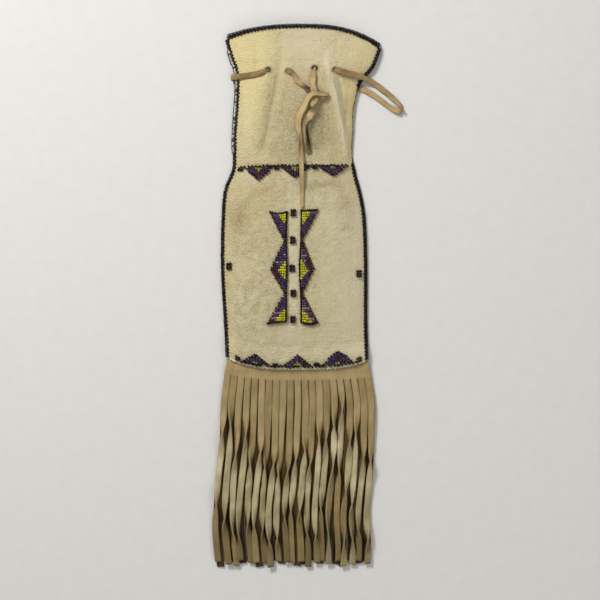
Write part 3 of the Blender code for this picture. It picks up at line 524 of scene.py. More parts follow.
def makeFrontHide(finish):
    rows, wide = bag["rows"], bag["columns"]
    x, y, keep, rim = openHoles(*hideGrid(rows, wide, 0), rows, wide)
    z = frontHeight(x, y) + bag["holeRim"] * rim
    u = across(x, y)
    turn = tuckedSide(y)
    out, up = bag["edgeTuck"]
    x = x + out * turn * ease(0.9, 1, u) - rolledEdge(y) * ease(0.75, 1, u)
    z = z + up * turn * ease(0.93, 1, u)
    hollow = sum(np.minimum(creaseHeight(x, y, *crease), 0) for crease in creases)
    values = {
        "warm": (ease(0.18, 0.23, y) * (bell(u, -0.78, 0.34) + 0.9 * bell(u, 0.86, 0.3))
                 + 0.35 * ease(0.26, 0.31, y) + 0.3 * bell(np.abs(u), 1, 0.12)),
        # Pale: a paler top of the neck, a pale line along the bottom seam, painted highlight along
        # the tops of three ridges, and painted light on the right of the body, whose crown turns
        # away from the lamp.
        "pale": (bell(u, 0.02, 0.4) * ease(0.262, 0.3, y)
                 + 600 * sum(creaseHeight(x, y, *creases[k]) for k in (2, 9, 11)) * (1 - u ** 8)
                 + bell(y - bottomLine(u), 0, 0.0018)
                 + 0.75 * bell(u, 0.85, 0.55) * (1 - ease(0.15, 0.19, y))),
        # The grey-brown darkening: a darker middle of the lower neck round the knot, painted shade
        # in the hollows of the creases, and a darker ring round each lacing hole.
        "soilAndShade": (0.42 * bell(u, 0.1, 0.5) * ease(0.192, 0.205, y) * (1 - ease(0.235, 0.275, y))
                 + np.clip(-hollow * 130, 0, 0.45) + 0.9 * bell(rim, 1, 0.35) * (rim > 0.2)),
    }
    for label, spots in stainsAndPaintedLight.items():
        values[label] = values[label] + sum(
            amount * bell(1000 * x, cx, halfX) * bell(1000 * y, cy, halfY)
            for cx, cy, halfX, halfY, amount in spots)
    piece = makePiece("frontHide", np.stack([x, y, z], -1),
                      gridFaces(rows + 1, wide + 1)[keep.ravel()], [finish],
                      ["front_panel"], values)
    tall = bag["mouthHeight"]
    layHide(piece, tall, np.linspace(0, tall, 400))


def makeBackHide(finish):
    rows, wide = bag["backRows"], bag["backColumns"]
    x, y = hideGrid(rows, wide, bag["backLip"])
    values = {"warm": 0.3 + 0.3 * np.abs(np.linspace(-1, 1, wide + 1)), "pale": 0, "soilAndShade": 0.25}
    piece = makePiece("backHide", np.stack([x, y, backHeight(y) + bag["backSeat"]], -1),
                      gridFaces(rows + 1, wide + 1, flip=True), [finish],
                      ["back_panel"], values)
    layHide(piece, round(bag["mouthHeight"] + bag["backLip"], 4), y[:, 0])


# Lace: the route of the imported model's thong, a little apart from it at the knot, in the
# order across, up and height of its middle in millimetres, and the way its face looks in
# degrees. The height is taken from the front hide, and from the floor at the points from
# the first to the last of floorPoints.
lace = {
    "width": 0.0055,
    "thick": 0.0015,
    "samples": 720,
    "around": 14,
    "route": (
        (12.2, 201.8, 1.6, 350), (12.2, 208.5, 1.9, 335), (10.8, 216, 2.6, 312),
        (10, 223.5, 3, 298), (10.4, 230, 3.6, 262), (13.4, 235.2, 3, 196), (16, 239.6, 3.3, 168),
        (17.2, 243.4, 4.2, 92), (17, 248.2, 3, 12), (18.8, 254.6, 3.1, -4), (17, 264, 2.6, -8),
        (16.8, 270.7, 1.7, 6), (17.4, 275.5, 1.9, 0), (18.3, 280, -0.6, 0), (20.3, 284, -3.1, 0),
        (26.8, 283.8, -3.2, 0), (33.2, 280.6, -3.4, 0), (38.3, 279.1, -0.6, 0),
        (43.3, 277.7, 2, 0), (51.4, 275.8, 1.8, 0), (60.7, 274, 2.7, 0), (66.8, 271.8, 6, 0),
        (74.8, 267.9, 2.2, 0), (83.2, 261.8, 1.1, 0), (91.6, 254.8, 1.3, 0),
        (98.6, 247.8, 2.8, -40), (100.8, 242.8, 3.3, -90), (96.5, 242.4, 2.9, -40),
        (89.5, 245.8, 1.3, 0), (81.3, 252, 1, 0), (72, 258.5, 1, 0), (62.6, 263.2, 1, 0),
        (51.4, 266, 1, 0), (25, 268.1, 1, 0), (0, 269.3, 1, 0), (-25, 270.6, 1, 0),
        (-48.6, 272.1, 1, 0), (-56.6, 273.2, 1.1, -20), (-59.4, 273.5, 3.8, -90),
        (-55.2, 273.8, 6.6, -170), (-45.8, 274.4, 1.6, -180), (-36.5, 275.4, 1.3, -180),
        (-30.4, 277.1, 2, -180), (-25.2, 278.8, -0.6, -180), (-20.1, 279.3, -3.1, -180),
        (-11.2, 278.7, -3.1, -180), (-6.4, 278, 0, -180), (-0.6, 275, 2, -180),
        (2.8, 269, 1.7, -198), (8.4, 263.4, 2.6, -116), (15.4, 259.2, 1.3, -176),
        (24.3, 258.1, 1.8, -160), (31, 256, 3.6, -90), (24.3, 256.2, 5.4, -20),
        (17.8, 256.8, 5.7, 0), (12.8, 253, 4.4, 16), (9, 245, 2, 26), (4.2, 236.1, 1.4, 4),
        (3.2, 226.7, 1.4, -4), (5, 214.6, 2.9, -42), (5.7, 204.3, 2.6, -16), (6.3, 194.9, 4, 0),
        (6.5, 186.5, 4.2, 0), (6.8, 178.1, 3.8, 0), (7, 167.8, 1.6, 0), (7.2, 158.5, 1.3, 0),
        (7.4, 151.2, 1.3, 0),
    ),
    "floorPoints": (21, 39),
    # width, paleness, shade and curl (half the angle that the section is bent to, edges
    # up) along the route, by the number of the route's point. Paleness is partly the leather's
    # own tone and partly painted shade where the strands meet; shade is painted shadow in the
    # curled tail, under the knot's wrap and where the strands meet
    "widths": (
        (0, 0.9), (2, 1.05), (4, 1), (6, 1.25), (7, 1.05), (8.2, 1.4), (9.3, 1.3), (10.2, 1),
        (11, 1.15), (12, 0.85), (13.4, 0.6), (16.2, 0.7), (17.4, 1.05), (20, 0.98), (39, 1.05),
        (41.5, 1.12), (42.8, 0.86), (45, 0.75), (45.9, 1.2), (46.4, 1.2), (47, 0.85), (47.7, 1.1),
        (48.4, 0.8), (49.2, 1.1), (51, 0.82), (52, 0.5), (53, 0.8), (55, 0.95), (57.5, 1.15),
        (59, 0.9), (61, 0.9), (63, 0.8), (66, 0.42),
    ),
    "paleness": (
        (0, 0.1), (2.5, 0.12), (4, 0.3), (5.2, 0.95), (6.4, 0.95), (7, 0.3), (8.2, 0.45), (9, 0.1),
        (10, 0.75), (12, 0.65), (13.4, 0.15), (18, 0.1), (22, 0.25), (26, 0.35), (31, 0.45),
        (39, 0.1), (43, 0), (46.6, 0), (48, 0.75), (49.5, 0), (51, 0.35), (53.4, 0.6), (55, 0.95),
        (58, 0.8), (59.4, 0.45), (61, 0.6), (64, 0.55), (66, 0.55),
    ),
    "shades": (
        (0, 0.2), (1, 0.85), (3.2, 0.95), (4.2, 0.45), (4.65, 0.65), (5.2, 0), (6.4, 0), (7, 0.35),
        (7.5, 0), (48.3, 0), (49.2, 0.55), (50.4, 0.6), (51.4, 0),
    ),
    "curls": (
        (0, 0.9), (2, 1.45), (3.4, 1.3), (4.6, 0.5), (8, 0.3), (11, 0.6), (12.4, 1), (14, 0.9),
        (17, 0.8), (19, 0.25), (37, 0.2), (42, 0.8), (47, 0.9), (49, 0.5), (52, 1.1), (55, 0.35),
        (58, 0.5), (60, 0.9), (64, 0.4), (66, 0.6),
    ),
}


def curveAlong(values, count):
    # Catmull-Rom curve through the rows of values, at even steps between them.
    last = len(values) - 1
    t = np.linspace(0, last, count)
    k = np.minimum(t.astype(int), last - 1)
    f = (t - k)[:, None]
    a, b = values[np.maximum(k - 1, 0)], values[k]
    c, d = values[k + 1], values[np.minimum(k + 2, last)]
    return t, 0.5 * (2 * b + (c - a) * f + (2 * a - 5 * b + 4 * c - d) * f ** 2
                     + (3 * b - a - 3 * c + d) * f ** 3)


def leatherFinish(name, dark, light, edge, along=(1, 0.12, 1), paleness=0.55):
    # The grain is drawn out along the strips of the fringe.
    dark, light, edge = tone(*dark), tone(*light), tone(*edge)
    skin = Finish(name, 0.82, Specular_IOR_Level=0.3)
    cloud = skin.noise(75, 4)
    grain = skin.noise(520, 3, 0.65, along)
    share = skin.between(cloud, 0.3, 0.72) * 0.35 + skin.between(grain, 0.3, 0.7) * 0.25
    colour = skin.mix(share + skin.carried("pale") * paleness, dark, light)
    specks = skin.between(skin.noise(1100, 2, 0.7), 0.62, 0.75)
    colour = skin.mix(specks * 0.25, colour, tuple(0.45 * c for c in dark))
    colour = skin.mix(skin.carried("edge") * 0.45, colour, edge)
    colour = skin.mix(skin.carried("shade"), colour, tone(30, 21, 9))
    skin.colour(colour)
    skin.relief(0.6 * grain + 0.4 * skin.noise(1500, 2), 0.0008, 0.5)
    return skin.material


def makeLace(finish):
    count, around = lace["samples"], lace["around"]
    x, y, lift, turn = (np.array(lace["route"]) * (0.001, 0.001, 0.001, np.pi / 180)).T
    first, last = lace["floorPoints"]
    ground = frontHeight(x, y)
    ground[first:last + 1] = 0
    t, curve = curveAlong(columns(x, y, ground + lift, turn), count)
    middle, turn = curve[:, :3], curve[:, 3]
    along = unit(np.gradient(middle, axis=0))
    face = columns(-np.sin(turn), 0, np.cos(turn))
    side = unit(np.cross(along, face))
    face = np.cross(side, along)
    # Rounded rectangle: width and thickness times soft powers of cosine and sine.
    angle = 2 * np.pi * (np.arange(around) + 0.5) / around
    wide = np.sign(np.cos(angle)) * np.abs(np.cos(angle)) ** 0.45
    tall = np.sign(np.sin(angle)) * np.abs(np.sin(angle)) ** 0.75
    width = 0.5 * lace["width"] * through(lace["widths"], t)
    wander = 1 + 0.05 * np.sin(1.7 * t + 0.4) + 0.03 * np.sin(5.3 * t)
    # The flat section is bent round an arc: sideways by sine, upwards by one minus cosine.
    curl = np.maximum(through(lace["curls"], t), 0.02)[:, None]
    reach = (width * wander)[:, None] / curl
    half = 0.5 * lace["thick"] * tall
    out = (reach - half) * np.sin(curl * wide)
    up = reach - (reach - half) * np.cos(curl * wide)
    points = middle[:, None] + out[..., None] * side[:, None] + up[..., None] * face[:, None]
    values = {"pale": through(lace["paleness"], t)[:, None], "edge": np.abs(wide) ** 8,
              "shade": through(lace["shades"], t)[:, None] * ease(-0.5, 0.3, wide)}
    caps = [list(range(around)), list(range(count * around))[:-around - 1:-1]]
    piece = makePiece("lace", points, tubeFaces(count, around, False)[:, ::-1], [finish],
                      ["thong"], values, caps=caps)
    path = middle + shift


# Fringe

fringe = {
    "thick": 0.0013,
    "length": 0.1856,
    "cut": 0.0005,
    "tuck": 0.0065,
    "drop": 0.0089,
    "left": metres((
        (-185.6, 72.5), (-160, 75.5), (-140, 76.5), (-105, 74.5), (-73, 71.2), (-30, 69.2),
        (0, 65.5), (6.5, 63.8),
    )),
    "right": metres((
        (-185.6, 70.5), (-165, 71.5), (-135, 70.5), (-93, 74), (-57, 75), (-30, 75.5), (0, 70.5),
        (6.5, 69.4),
    )),
    "samples": 84,
    "headerRows": 9,
    "quads": 4,                    # across a strip
    "rests": (0.00225, 0.00085),   # height of the front fringe and of the back one
    "tipWave": 0.0075,
    "rootRise": (0.0066, 0.003),
    "rides": (0.0005, 0.0017, 0.00002),   # even and odd front strips, back strips
    "flat": (0.152, 0.192),
    "cutLength": 0.188,
    "uncutShare": 0.88,
    # Where each front strip turns along its length, the way it turns, and how far it sways
    # at its middle and at its tip in millimetres
    "front": (
        ((0.33, 0.67), 1, -0.8, -2), ((0.265, 0.74), -1, 0.2, 0.8), ((0.41, 0.81), 1, -0.6, 1.2),
        ((0.32, 0.85), 1, 0.5, -1.2), ((0.485, 0.75), -1, -0.4, 1.6),
        ((0.425, 0.765), 1, 0.9, -0.4), ((0.525, 0.79), -1, -0.5, 0.9), ((0.48, 0.83), 1, 0.7, -1),
        ((0.545, 0.855), -1, -0.9, -0.2), ((0.515, 0.75), 1, 0.4, 0.9),
        ((0.45, 0.71), 1, -0.3, -1.4), ((0.41, 0.7), -1, 0.8, 0.5), ((0.49, 0.785), 1, -0.8, 0.2),
        ((0.33, 0.815), -1, 0.3, 1.4), ((0.34, 0.685), 1, -0.2, -1.1),
        ((0.255, 0.435, 0.865), -1, 0.6, -1.3), ((0.175, 0.5), 1, -0.9, 0.8),
        ((0.335, 0.59, 0.875), 1, 0.9, -0.9), ((0.305, 0.65, 0.885), -1, -1, 0.6),
        ((0.465, 0.81), 1, 0.4, -0.9), ((0.49, 0.85), -1, 0.6, 1),
    ),
    "backStrips": 20,
}


def fringeX(share, y):
    left, right = -through(fringe["left"], y), through(fringe["right"], y)
    return left + share * (right - left)


def rootLine(u):
    return -fringe["drop"] + np.where(u < 0, *fringe["rootRise"]) * np.abs(u) ** 3


def tipLine(strip):   # uneven tips: a slow and a quick wave over the strips
    wave = 0.5 + 0.3 * np.sin(2.4 * strip + 0.6) + 0.2 * np.sin(5.1 * strip)
    return -fringe["length"] + fringe["tipWave"] * wave


def turnStations(spots):
    # Edge on at the middle of each turn, flat halfway to the next one, so that the part
    # between two turns shows its reverse as a leaf.
    stations, flat = [(0, 0), *((spot - 0.13, 0) for spot in spots[:1])], 0
    for k, spot in enumerate(spots):
        flat = math.pi if k % 2 == 0 else 0
        rest = 0.5 * (spot + spots[k + 1]) if k + 1 < len(spots) else min(spot + 0.11, 0.985)
        stations += [(spot, 0.5 * math.pi), (rest, flat)]
    return stations + [(1.03, flat)]


def makeFringe(name, habits, rest, tipShift, finishes, node):
    # Header rows are one grid across all strips. Below the cuts, every strip is a grid
    # of its own that starts from the header's last row. The table's columns are the
    # place and the paleness, edge and shade of every point.
    strips, quads, headerRows = len(habits), fringe["quads"], fringe["headerRows"]
    lines, samples = quads * strips + 1, fringe["samples"]
    share = np.arange(lines) / (lines - 1)
    u = 2 * share - 1
    rise = 0.5 * (bag["hideThick"] + bag["seatGap"])
    top = fringe["tuck"] + np.where(u < 0, *bag["headerRise"]) * np.abs(u) ** 3
    y = top + np.linspace(0, 1, headerRows)[:, None] * (rootLine(u) - top)
    z = rest + rise * (1 + ease(-0.0045, 0, y))
    # The header's paleness of 0.95 is painted light, lifting it against the shade that the bag's
    # bottom edge casts on it.
    table = [columns(fringeX(share, y), y, z, 0.95, 0, 0)]
    faces = [gridFaces(headerRows, lines, flip=True)]
    count = headerRows * lines
    s = np.linspace(0, 1, samples)[1:, None]
    c = np.linspace(-1, 1, quads + 1)[None, :]
    for k, (turns, way, sway, tipSway) in enumerate(habits):
        middle = (k + 0.5) / strips
        start, tip = rootLine(2 * middle - 1), tipLine(k + tipShift)
        y = start + s * (tip - start)
        half = 0.5 * (fringeX(1, y) - fringeX(0, y)) / strips - 0.5 * fringe["cut"]
        slim = 0.06 + 0.1 * (0.5 + 0.5 * math.sin(4.4 * k)) if turns else 0
        half = half * (1 - slim * ease(0.1, 0.6, s)) * (1 + 0.04 * np.sin(9 * s + k))
        lean = 0.6 * math.sin(2.7 * k + 1) * ease(0.3, 0.55, s) * (1 - ease(0.8, 0.95, s))
        turn = (way * through(turnStations(turns), s) + lean * bool(turns)
                + 0.1 * np.sin(7 * s + 1.3 * k) * ease(0.1, 0.3, s))
        drift = 0.001 * (sway * np.sin(np.pi * np.minimum(1.4 * s, 1)) * ease(0.1, 0.4, s)
                         + 0.5 * math.sin(5.3 * k) * ease(0.02, 0.2, s) * (1 - s)
                         + tipSway * ease(0.45, 1, s))
        ride = fringe["rides"][k % 2 if turns else 2] * ease(0.1, 0.4, s)
        up = rest + (1 - ease(0, 0.09, s)) * rise + ride + half * np.abs(np.sin(turn))
        cup = 0.00035 * np.sin(1.1 * k + 4 * s) * ease(0.08, 0.25, s) * (c ** 2 - 0.4)
        x = fringeX(middle, y) + drift + c * half * np.cos(turn) - cup * np.sin(turn)
        z = up + c * half * np.sin(turn) + cup * np.cos(turn)
        y = y + 0.0006 * c * ease(0.9, 1, s) * math.sin(2.9 * k)
        # Paleness differs from strip to strip and falls towards the tip as painted shade; the
        # shade value darkens the tips further as painted shade.
        pale = 0.55 + 0.4 * math.sin(3.9 * k + 0.7) - 0.95 * ease(0.3, 1, s)
        shade = (0.15 + 0.13 * math.sin(2.1 * k + 1)) * ease(0.6, 0.95, s)
        table.append(columns(x, y, z, pale, np.abs(c) ** 6, shade))
        first = (headerRows - 1) * lines + quads * k + np.arange(quads + 1)
        below = count + np.arange(quads + 1)
        faces.append(np.stack([first[1:], first[:-1], below[:-1], below[1:]], -1))
        faces.append(gridFaces(samples - 1, quads + 1, count, flip=True))
        count += (samples - 1) * (quads + 1)
    table = np.concatenate(table)
    piece = makePiece(name, table[:, :3], np.concatenate(faces), finishes,
                      [node], dict(zip(("pale", "edge", "shade"), table[:, 3:].T)))
    thicken(piece, fringe["thick"], 0, 1)
    wide = float(np.mean(fringeX(1, table[:, 1]) - fringeX(0, table[:, 1])))
    wide * fringe["cutLength"] * fringe["uncutShare"]


def backHabits():
    source = np.random.default_rng(31)
    return [((), 1, source.uniform(-0.3, 0.3), source.uniform(-0.5, 0.5))
            for _ in range(fringe["backStrips"])]


# Beads

beads = {
    "row": 0.00234,
    "pitch": 0.00175,
    "seat": 0.00045,
    "radius": 0.00115,
    "length": 0.00173,
    "around": 8,
    "profile": ((-0.5, 0.5), (-0.45, 0.84), (-0.24, 1), (0.24, 1), (0.45, 0.84), (0.5, 0.5)),
    "tints": {
        "black": (9, 8, 10), "brown": (52, 27, 27), "plum": (72, 42, 64), "violet": (74, 54, 94),
        "garnet": (70, 24, 32), "blue": (54, 52, 104), "slate": (84, 80, 104),
        "yellow": (188, 180, 28), "orange": (196, 138, 34), "ochre": (158, 152, 34),
        "green": (60, 88, 44), "lavender": (134, 110, 130), "lime": (128, 142, 34),
        "white": (212, 212, 202), "clear": (96, 104, 88), "sinew": (232, 226, 200),
    },
}


def beadCloud(name, middles, axes, tints, finish, slot, stands, seed, ups=(0, 0, 1),
              radius=beads["radius"], length=beads["length"]):
    # One small barrel for each middle: its profile, radius against length, turned round
    # the axis, with the inner side of the hole as the profile's closing step.
    source = np.random.default_rng(seed)
    count, rings, around = len(middles), len(beads["profile"]), beads["around"]
    radius = (radius * source.uniform(0.93, 1.05, count))[:, None, None, None]
    length = (length * source.uniform(0.9, 1.06, count))[:, None]
    axes = unit(axes + source.normal(0, 0.07, (count, 3)))
    ups = unit(ups - axes * np.sum(ups * axes, -1, keepdims=True))
    sides = np.cross(axes, ups)
    run, wide = np.array(beads["profile"]).T[..., None, None]
    angle = (2 * np.pi * np.arange(around) / around)[:, None]
    ring = np.cos(angle) * ups[:, None] + np.sin(angle) * sides[:, None]
    points = (middles[:, None, None] + (axes * length)[:, None, None] * run
              + ring[:, None] * (radius * wide))
    faces = np.arange(count)[:, None, None] * rings * around + tubeFaces(rings, around, True)
    tints = np.array([tone(*beads["tints"][tint]) for tint in tints])
    tints = np.clip(tints * source.uniform(0.78, 1.22, (count, 1)), 0, 1)
    makePiece(name, points, faces.reshape(-1, 4), [finish], stands,
              tints=np.repeat(tints, rings * around, axis=0))


def glassFinish(name, rough):
    glass = Finish(name, rough, Specular_IOR_Level=0.22)
    tint = glass.carried("tint", "Color")
    dust = glass.between(glass.noise(900, 2), 0.55, 0.8)
    glass.colour(glass.mix(dust * 0.05, tint, tone(120, 108, 88)))
    glass.put(glass.shader.inputs["Roughness"], rough + 0.25 * dust)
    return glass.material


def onHide(x, y):   # middles of beads that lie on the front
    return columns(x, y, frontHeight(x, y) + beads["seat"] + beads["radius"])


def wholeBeads(width):
    return max(1, round(width / beads["pitch"]))


def darkTint(source, share):   # the share of black ones
    return "black" if source.random() < share else "brown"


def beadLook(part, node, finishes, coreSlot):
    # Finish, slot and nodes of a field of beads, or of its light cores.
    if part == "Cores":
        return finishes[1], coreSlot, [f"{node}_core_{k}" for k in (1, 2, 3)]
    return finishes[0], "violet_beads", [node]


figures = (
    {"name": "leftFigure", "side": -1, "inner": -0.007,
     "heights": (0.042, 0.0716, 0.0935, 0.1202, 0.1484),
     "widths": (0.0195, 0.0032, 0.0169, 0.0032, 0.0179),
     "cores": ((0.0445, 0.0465, 0.0568, 0.0092), (0.0828, 0.0925, 0.1018, 0.0076),
               (0.1345, 0.1445, 0.1465, 0.0066)),
     "paleRows": (0.0996, 0.0528, 0.0476), "outer": ("garnet", "garnet", "violet"),
     "next": ("violet", "blue", "violet"), "seed": 11},
    {"name": "rightFigure", "side": 1, "inner": 0.0052,
     "heights": (0.042, 0.0716, 0.0942, 0.1206, 0.1494),
     "widths": (0.0175, 0.003, 0.0152, 0.0028, 0.0179),
     "cores": ((0.044, 0.046, 0.0562, 0.009), (0.0838, 0.0922, 0.104, 0.0072),
               (0.1345, 0.1455, 0.1475, 0.0076)),
     "paleRows": (0.1052, 0.0577, 0.0528, 0.0469), "outer": ("garnet", "garnet", "plum"),
     "next": ("slate", "slate", "violet"), "seed": 12},
)


def coreWidth(figure, y):
    # Width of the light core in the row at y: the outer cores are widest at their flat
    # side, the middle one halfway up.
    for number, (low, middle, high, width) in enumerate(figure["cores"]):
        low, high = low - 0.0025 * (number == 0), high + 0.003 * (number == 2)
        if low < y < high:
            share = (y - low) / (middle - low) if y < middle else (high - y) / (high - middle)
            flat = (number == 0 and y < middle) or (number == 2 and y > middle)
            return width * (1 if flat else share), number
    return 0, 0


def figureBow(figure, share, y):
    # How far a bead leaves the straight rows and the straight inner side.
    base, top = figure["heights"][0], figure["heights"][-1]
    low, high = np.exp(-(y - base) / 0.005), np.exp(-(top - y) / 0.005)
    if figure["side"] < 0:
        up = 0.0026 * low * (1 - share) - 0.0024 * high * np.sin(np.pi * np.clip(share, 0, 1))
        return 0.0007 * (bell(y, 0.148, 0.01) + bell(y, 0.0935, 0.014)) + 0 * share, up
    up = low * (0.002 - 0.0034 * np.sin(np.pi * share)) + 0.0008 * high * share
    return -0.0016 * bell(y, 0.094, 0.02) + 0 * share, up


def figureRow(figure, k, rows, pitch, source):
    # Places and tints of one row from the inner side outwards: black ends, the light core,
    # then the colour beside it, the field and the colour beside the outline.
    y = figure["heights"][0] + (k + 0.5) * pitch
    width = float(np.interp(y, figure["heights"], figure["widths"])) + 0.0003 * (-1) ** k
    coreWide, part = coreWidth(figure, y)
    core = round(coreWide / beads["pitch"])
    coreWide *= core > 0
    rest = width - beads["pitch"] - coreWide
    outside = wholeBeads(rest)
    n = 1 + core + outside
    lower = 0 if y < figure["heights"][1] else 1 if y < figure["heights"][3] else 2
    paleRow = any(abs(y - pale) < 0.5 * pitch for pale in figure["paleRows"])
    tints = []
    for i in range(n):
        # The lavender beads strewn through the field partly paint the glints of the glass, as
        # painted highlight.
        tint = source.choice(("plum", "violet", "lavender"), p=(0.5, 0.43, 0.07))
        if i >= n - 3 and source.random() < 0.6:
            tint = figure["outer"][lower] if source.random() < 0.7 else "brown"
        if core and i == core + 1:
            tint = "green" if core == 1 else figure["next"][part]
        elif not core and i <= 2 and source.random() < 0.6:
            tint = figure["next"][lower]
        if paleRow and i > max(core, n - 6):
            tint = "lavender" if source.random() < 0.7 else "slate"
        if 1 <= i <= core:
            tint = source.choice(("yellow", "orange", "ochre"), p=(0.74, 0.03, 0.23))
        if k == rows - 2 and i > core:
            tint = "slate"
        if i == 0 or i == n - 1 or k in (0, rows - 1):
            tint = darkTint(source, 0.5 if i == n - 1 else 0.95)
        if n <= 3:
            tint = darkTint(source, 0.6)
        tints.append(tint)
    along = np.concatenate([[0.5 * beads["pitch"]],
                            beads["pitch"] + (np.arange(core) + 0.5) * coreWide / max(core, 1),
                            width - rest + (np.arange(outside) + 0.5) * rest / outside])
    sideways, up = figureBow(figure, along / figure["widths"][-1], y)
    return figure["inner"] + figure["side"] * along + sideways, y + up, tints


def makeFigure(figure, node, finishes):
    source = np.random.default_rng(figure["seed"])
    tall = figure["heights"][-1] - figure["heights"][0]
    rows = round(tall / beads["row"])
    parts = {"Cores": [], "Field": []}
    for k in range(rows):
        x, y, tints = figureRow(figure, k, rows, tall / rows, source)
        for i, tint in enumerate(tints):
            rim = 0 < k < rows - 1 and i == len(tints) - 1
            part = "Cores" if tint in ("yellow", "orange", "ochre", "green") else "Field"
            parts[part].append((x[i], y[i], beads["radius"] * (0.88 if rim else 1), tint))
    for part, rows in parts.items():
        x, y, radius, tints = zip(*rows)
        x = x + source.normal(0, 0.00006, len(x))
        y = y + source.normal(0, 0.00008, len(y))
        beadCloud(figure["name"] + part, onHide(x, y), (1, 0, 0), tints,
                  *beadLook(part, node, finishes, "yellow_beads"), figure["seed"],
                  radius=np.array(radius))


boxes = {
    "centre": ((-0.0013, 0.1463), (-0.0018, 0.1207), (-0.0024, 0.0946), (-0.0013, 0.0712),
               (-0.0018, 0.0467)),
    "sides": ((-0.0616, 0.0966), (0.0603, 0.0896)),
    "tints": ("black", "brown", "black", "black", "brown", "brown", "black", "brown", "black"),
}


def makeBox(name, x, y, finish, node, seed):
    i, j = np.divmod(np.arange(9), 3)
    source = np.random.default_rng(seed)
    x = x + (j - 1) * beads["pitch"] + source.normal(0, 0.0001, 9)
    y = y + (i - 1) * beads["row"] + source.normal(0, 0.00012, 9)
    beadCloud(name, onHide(x, y), (1, 0, 0), boxes["tints"], finish, "plum_beads", [node],
              seed)


bands = (
    {"name": "upperBand", "way": -1, "link": 0.1902, "ends": (-0.053, 0.0505),
     "triangles": ((-0.0335, 0.025, 5, 0.0036), (0.0005, 0.0262, 4, 0.0036),
                   (0.0358, 0.024, 4, 0.0025)),
     "boxes": (-0.0512, -0.0168, 0.0189), "field": ("plum", "violet", "brown", "plum", "blue"),
     "seed": 21},
    {"name": "lowerBand", "way": 1, "link": 0.0026, "ends": (-0.055925, 0.062825),
     "triangles": ((-0.0366, 0.0235, 4, 0.0014), (0.0025, 0.025, 4, 0.0025),
                   (0.04, 0.0285, 5, 0.0025)),
     "boxes": (-0.0533, -0.018, 0.0209, 0.0602), "field": ("plum", "violet", "blue", "brown"),
     "seed": 22},
)
banding = {
    "first": 0.0019,       # from the linking row to a triangle's first bead
    "short": 0.0006,
    "coreInset": 0.0022,   # how much narrower a core is in its second row
    "zigzag": 0.00045,
    "wave": (0.0003, 420),
    "bow": (0.0012, 0.0545),
}


def bandLine(band, x):   # the upper band is bowed, the lower one follows the bottom seam
    if band["way"] < 0:
        bow, reach = banding["bow"]
        return band["link"] - bow * (x / reach) ** 2 * np.where(x < 0, 1, -0.4)
    left, right = seams(0)
    return band["link"] + bottomLine(np.clip(x / np.where(x < 0, -left, right), -1, 1))


def makeBand(band, node, finishes):
    # The linking row first, with a bead left out here and there, then the triangles
    # in upright strings and the small boxes: place along the band, distance from its line,
    # whether the bead stands upright, and its tint.
    source = np.random.default_rng(band["seed"])
    left, right = band["ends"]
    field, cores = [], []
    count = wholeBeads(right - left)
    for k, x in enumerate(left + (np.arange(count) + 0.5) * (right - left) / count):
        if source.random() < 0.97:
            field.append((x, source.normal(banding["zigzag"] * (-1) ** k, 0.0002), 0,
                          darkTint(source, 0.75)))
    # A triangle is its middle, width, depth in rows and half the width of its core.
    for middle, width, depth, coreHalf in band["triangles"]:
        strings = round(width / beads["row"])
        for k in range(strings):
            x = middle + (k + 0.5 - 0.5 * strings) * width / strings
            off = abs(x - middle)
            near = (1 - off / (0.5 * width)) ** 0.7
            n = wholeBeads(near * (depth + 0.6) * beads["row"] - banding["short"])
            for i in range(n):
                down = banding["first"] + i * beads["pitch"]
                if i <= (off < coreHalf - banding["coreInset"]) and off < coreHalf:
                    cores.append((x, down, 1, "lime" if source.random() < 0.75 else "ochre"))
                    continue
                tint = band["field"][int(source.integers(len(band["field"])))]
                field.append((x, down, 1, darkTint(source, 0.6) if i == n - 1 else tint))
    for middle in band["boxes"]:
        for i in range(3):
            field.append((middle + (i - 1) * beads["pitch"], beads["row"], 0,
                          darkTint(source, 0.7)))
    high, waves = banding["wave"]
    for tail, rows in (("", field), ("Cores", cores)):
        x, down, upright = np.array([row[:3] for row in rows]).T
        y = bandLine(band, x) + band["way"] * down
        y = y + source.normal(0, 0.00014, len(x)) + high * np.sin(x * waves)
        slope = (bandLine(band, x + 0.0005) - bandLine(band, x - 0.0005)) / 0.001
        slope = slope + source.normal(0, 0.12, len(x))
        axes = columns(np.where(upright, -slope, 1), np.where(upright, 1, slope), 0)
        beadCloud(band["name"] + tail, onHide(x, y), axes, [row[3] for row in rows],
                  *beadLook(tail, node, finishes, "green_beads"), band["seed"])


edging = {
    "pitch": 0.00166,
    "radius": 0.00102,
    "length": 0.0019,
    "samples": 260,
    # how far outwards and up the inner beads lie, the outer and the under ones, and what
    # is taken off where the right neck edge turns under
    "inner": (-0.0003, 0.0006), "innerTuck": (0.0024, 0.0022),
    "outer": (0.0017, 0), "outerTuck": (0.002, 0.0002),
    "under": (0.0026, -0.001),
    "tooth": 0.0011,         # how far every second inner bead moves outwards
    "whiteInset": 0.0005,
}


def runAlong(points):
    return np.concatenate([[0], np.cumsum(np.linalg.norm(np.diff(points, axis=0), axis=1))])


def evenly(points, count):
    # Points and directions at even steps along a line of points.
    run = runAlong(points)
    at = (np.arange(count) + 0.5) * run[-1] / count
    spots, ahead, back = (columns(*(np.interp(at + move, run, axis) for axis in points.T))
                          for move in (0, 0.0005, -0.0005))
    return spots, unit(ahead - back)


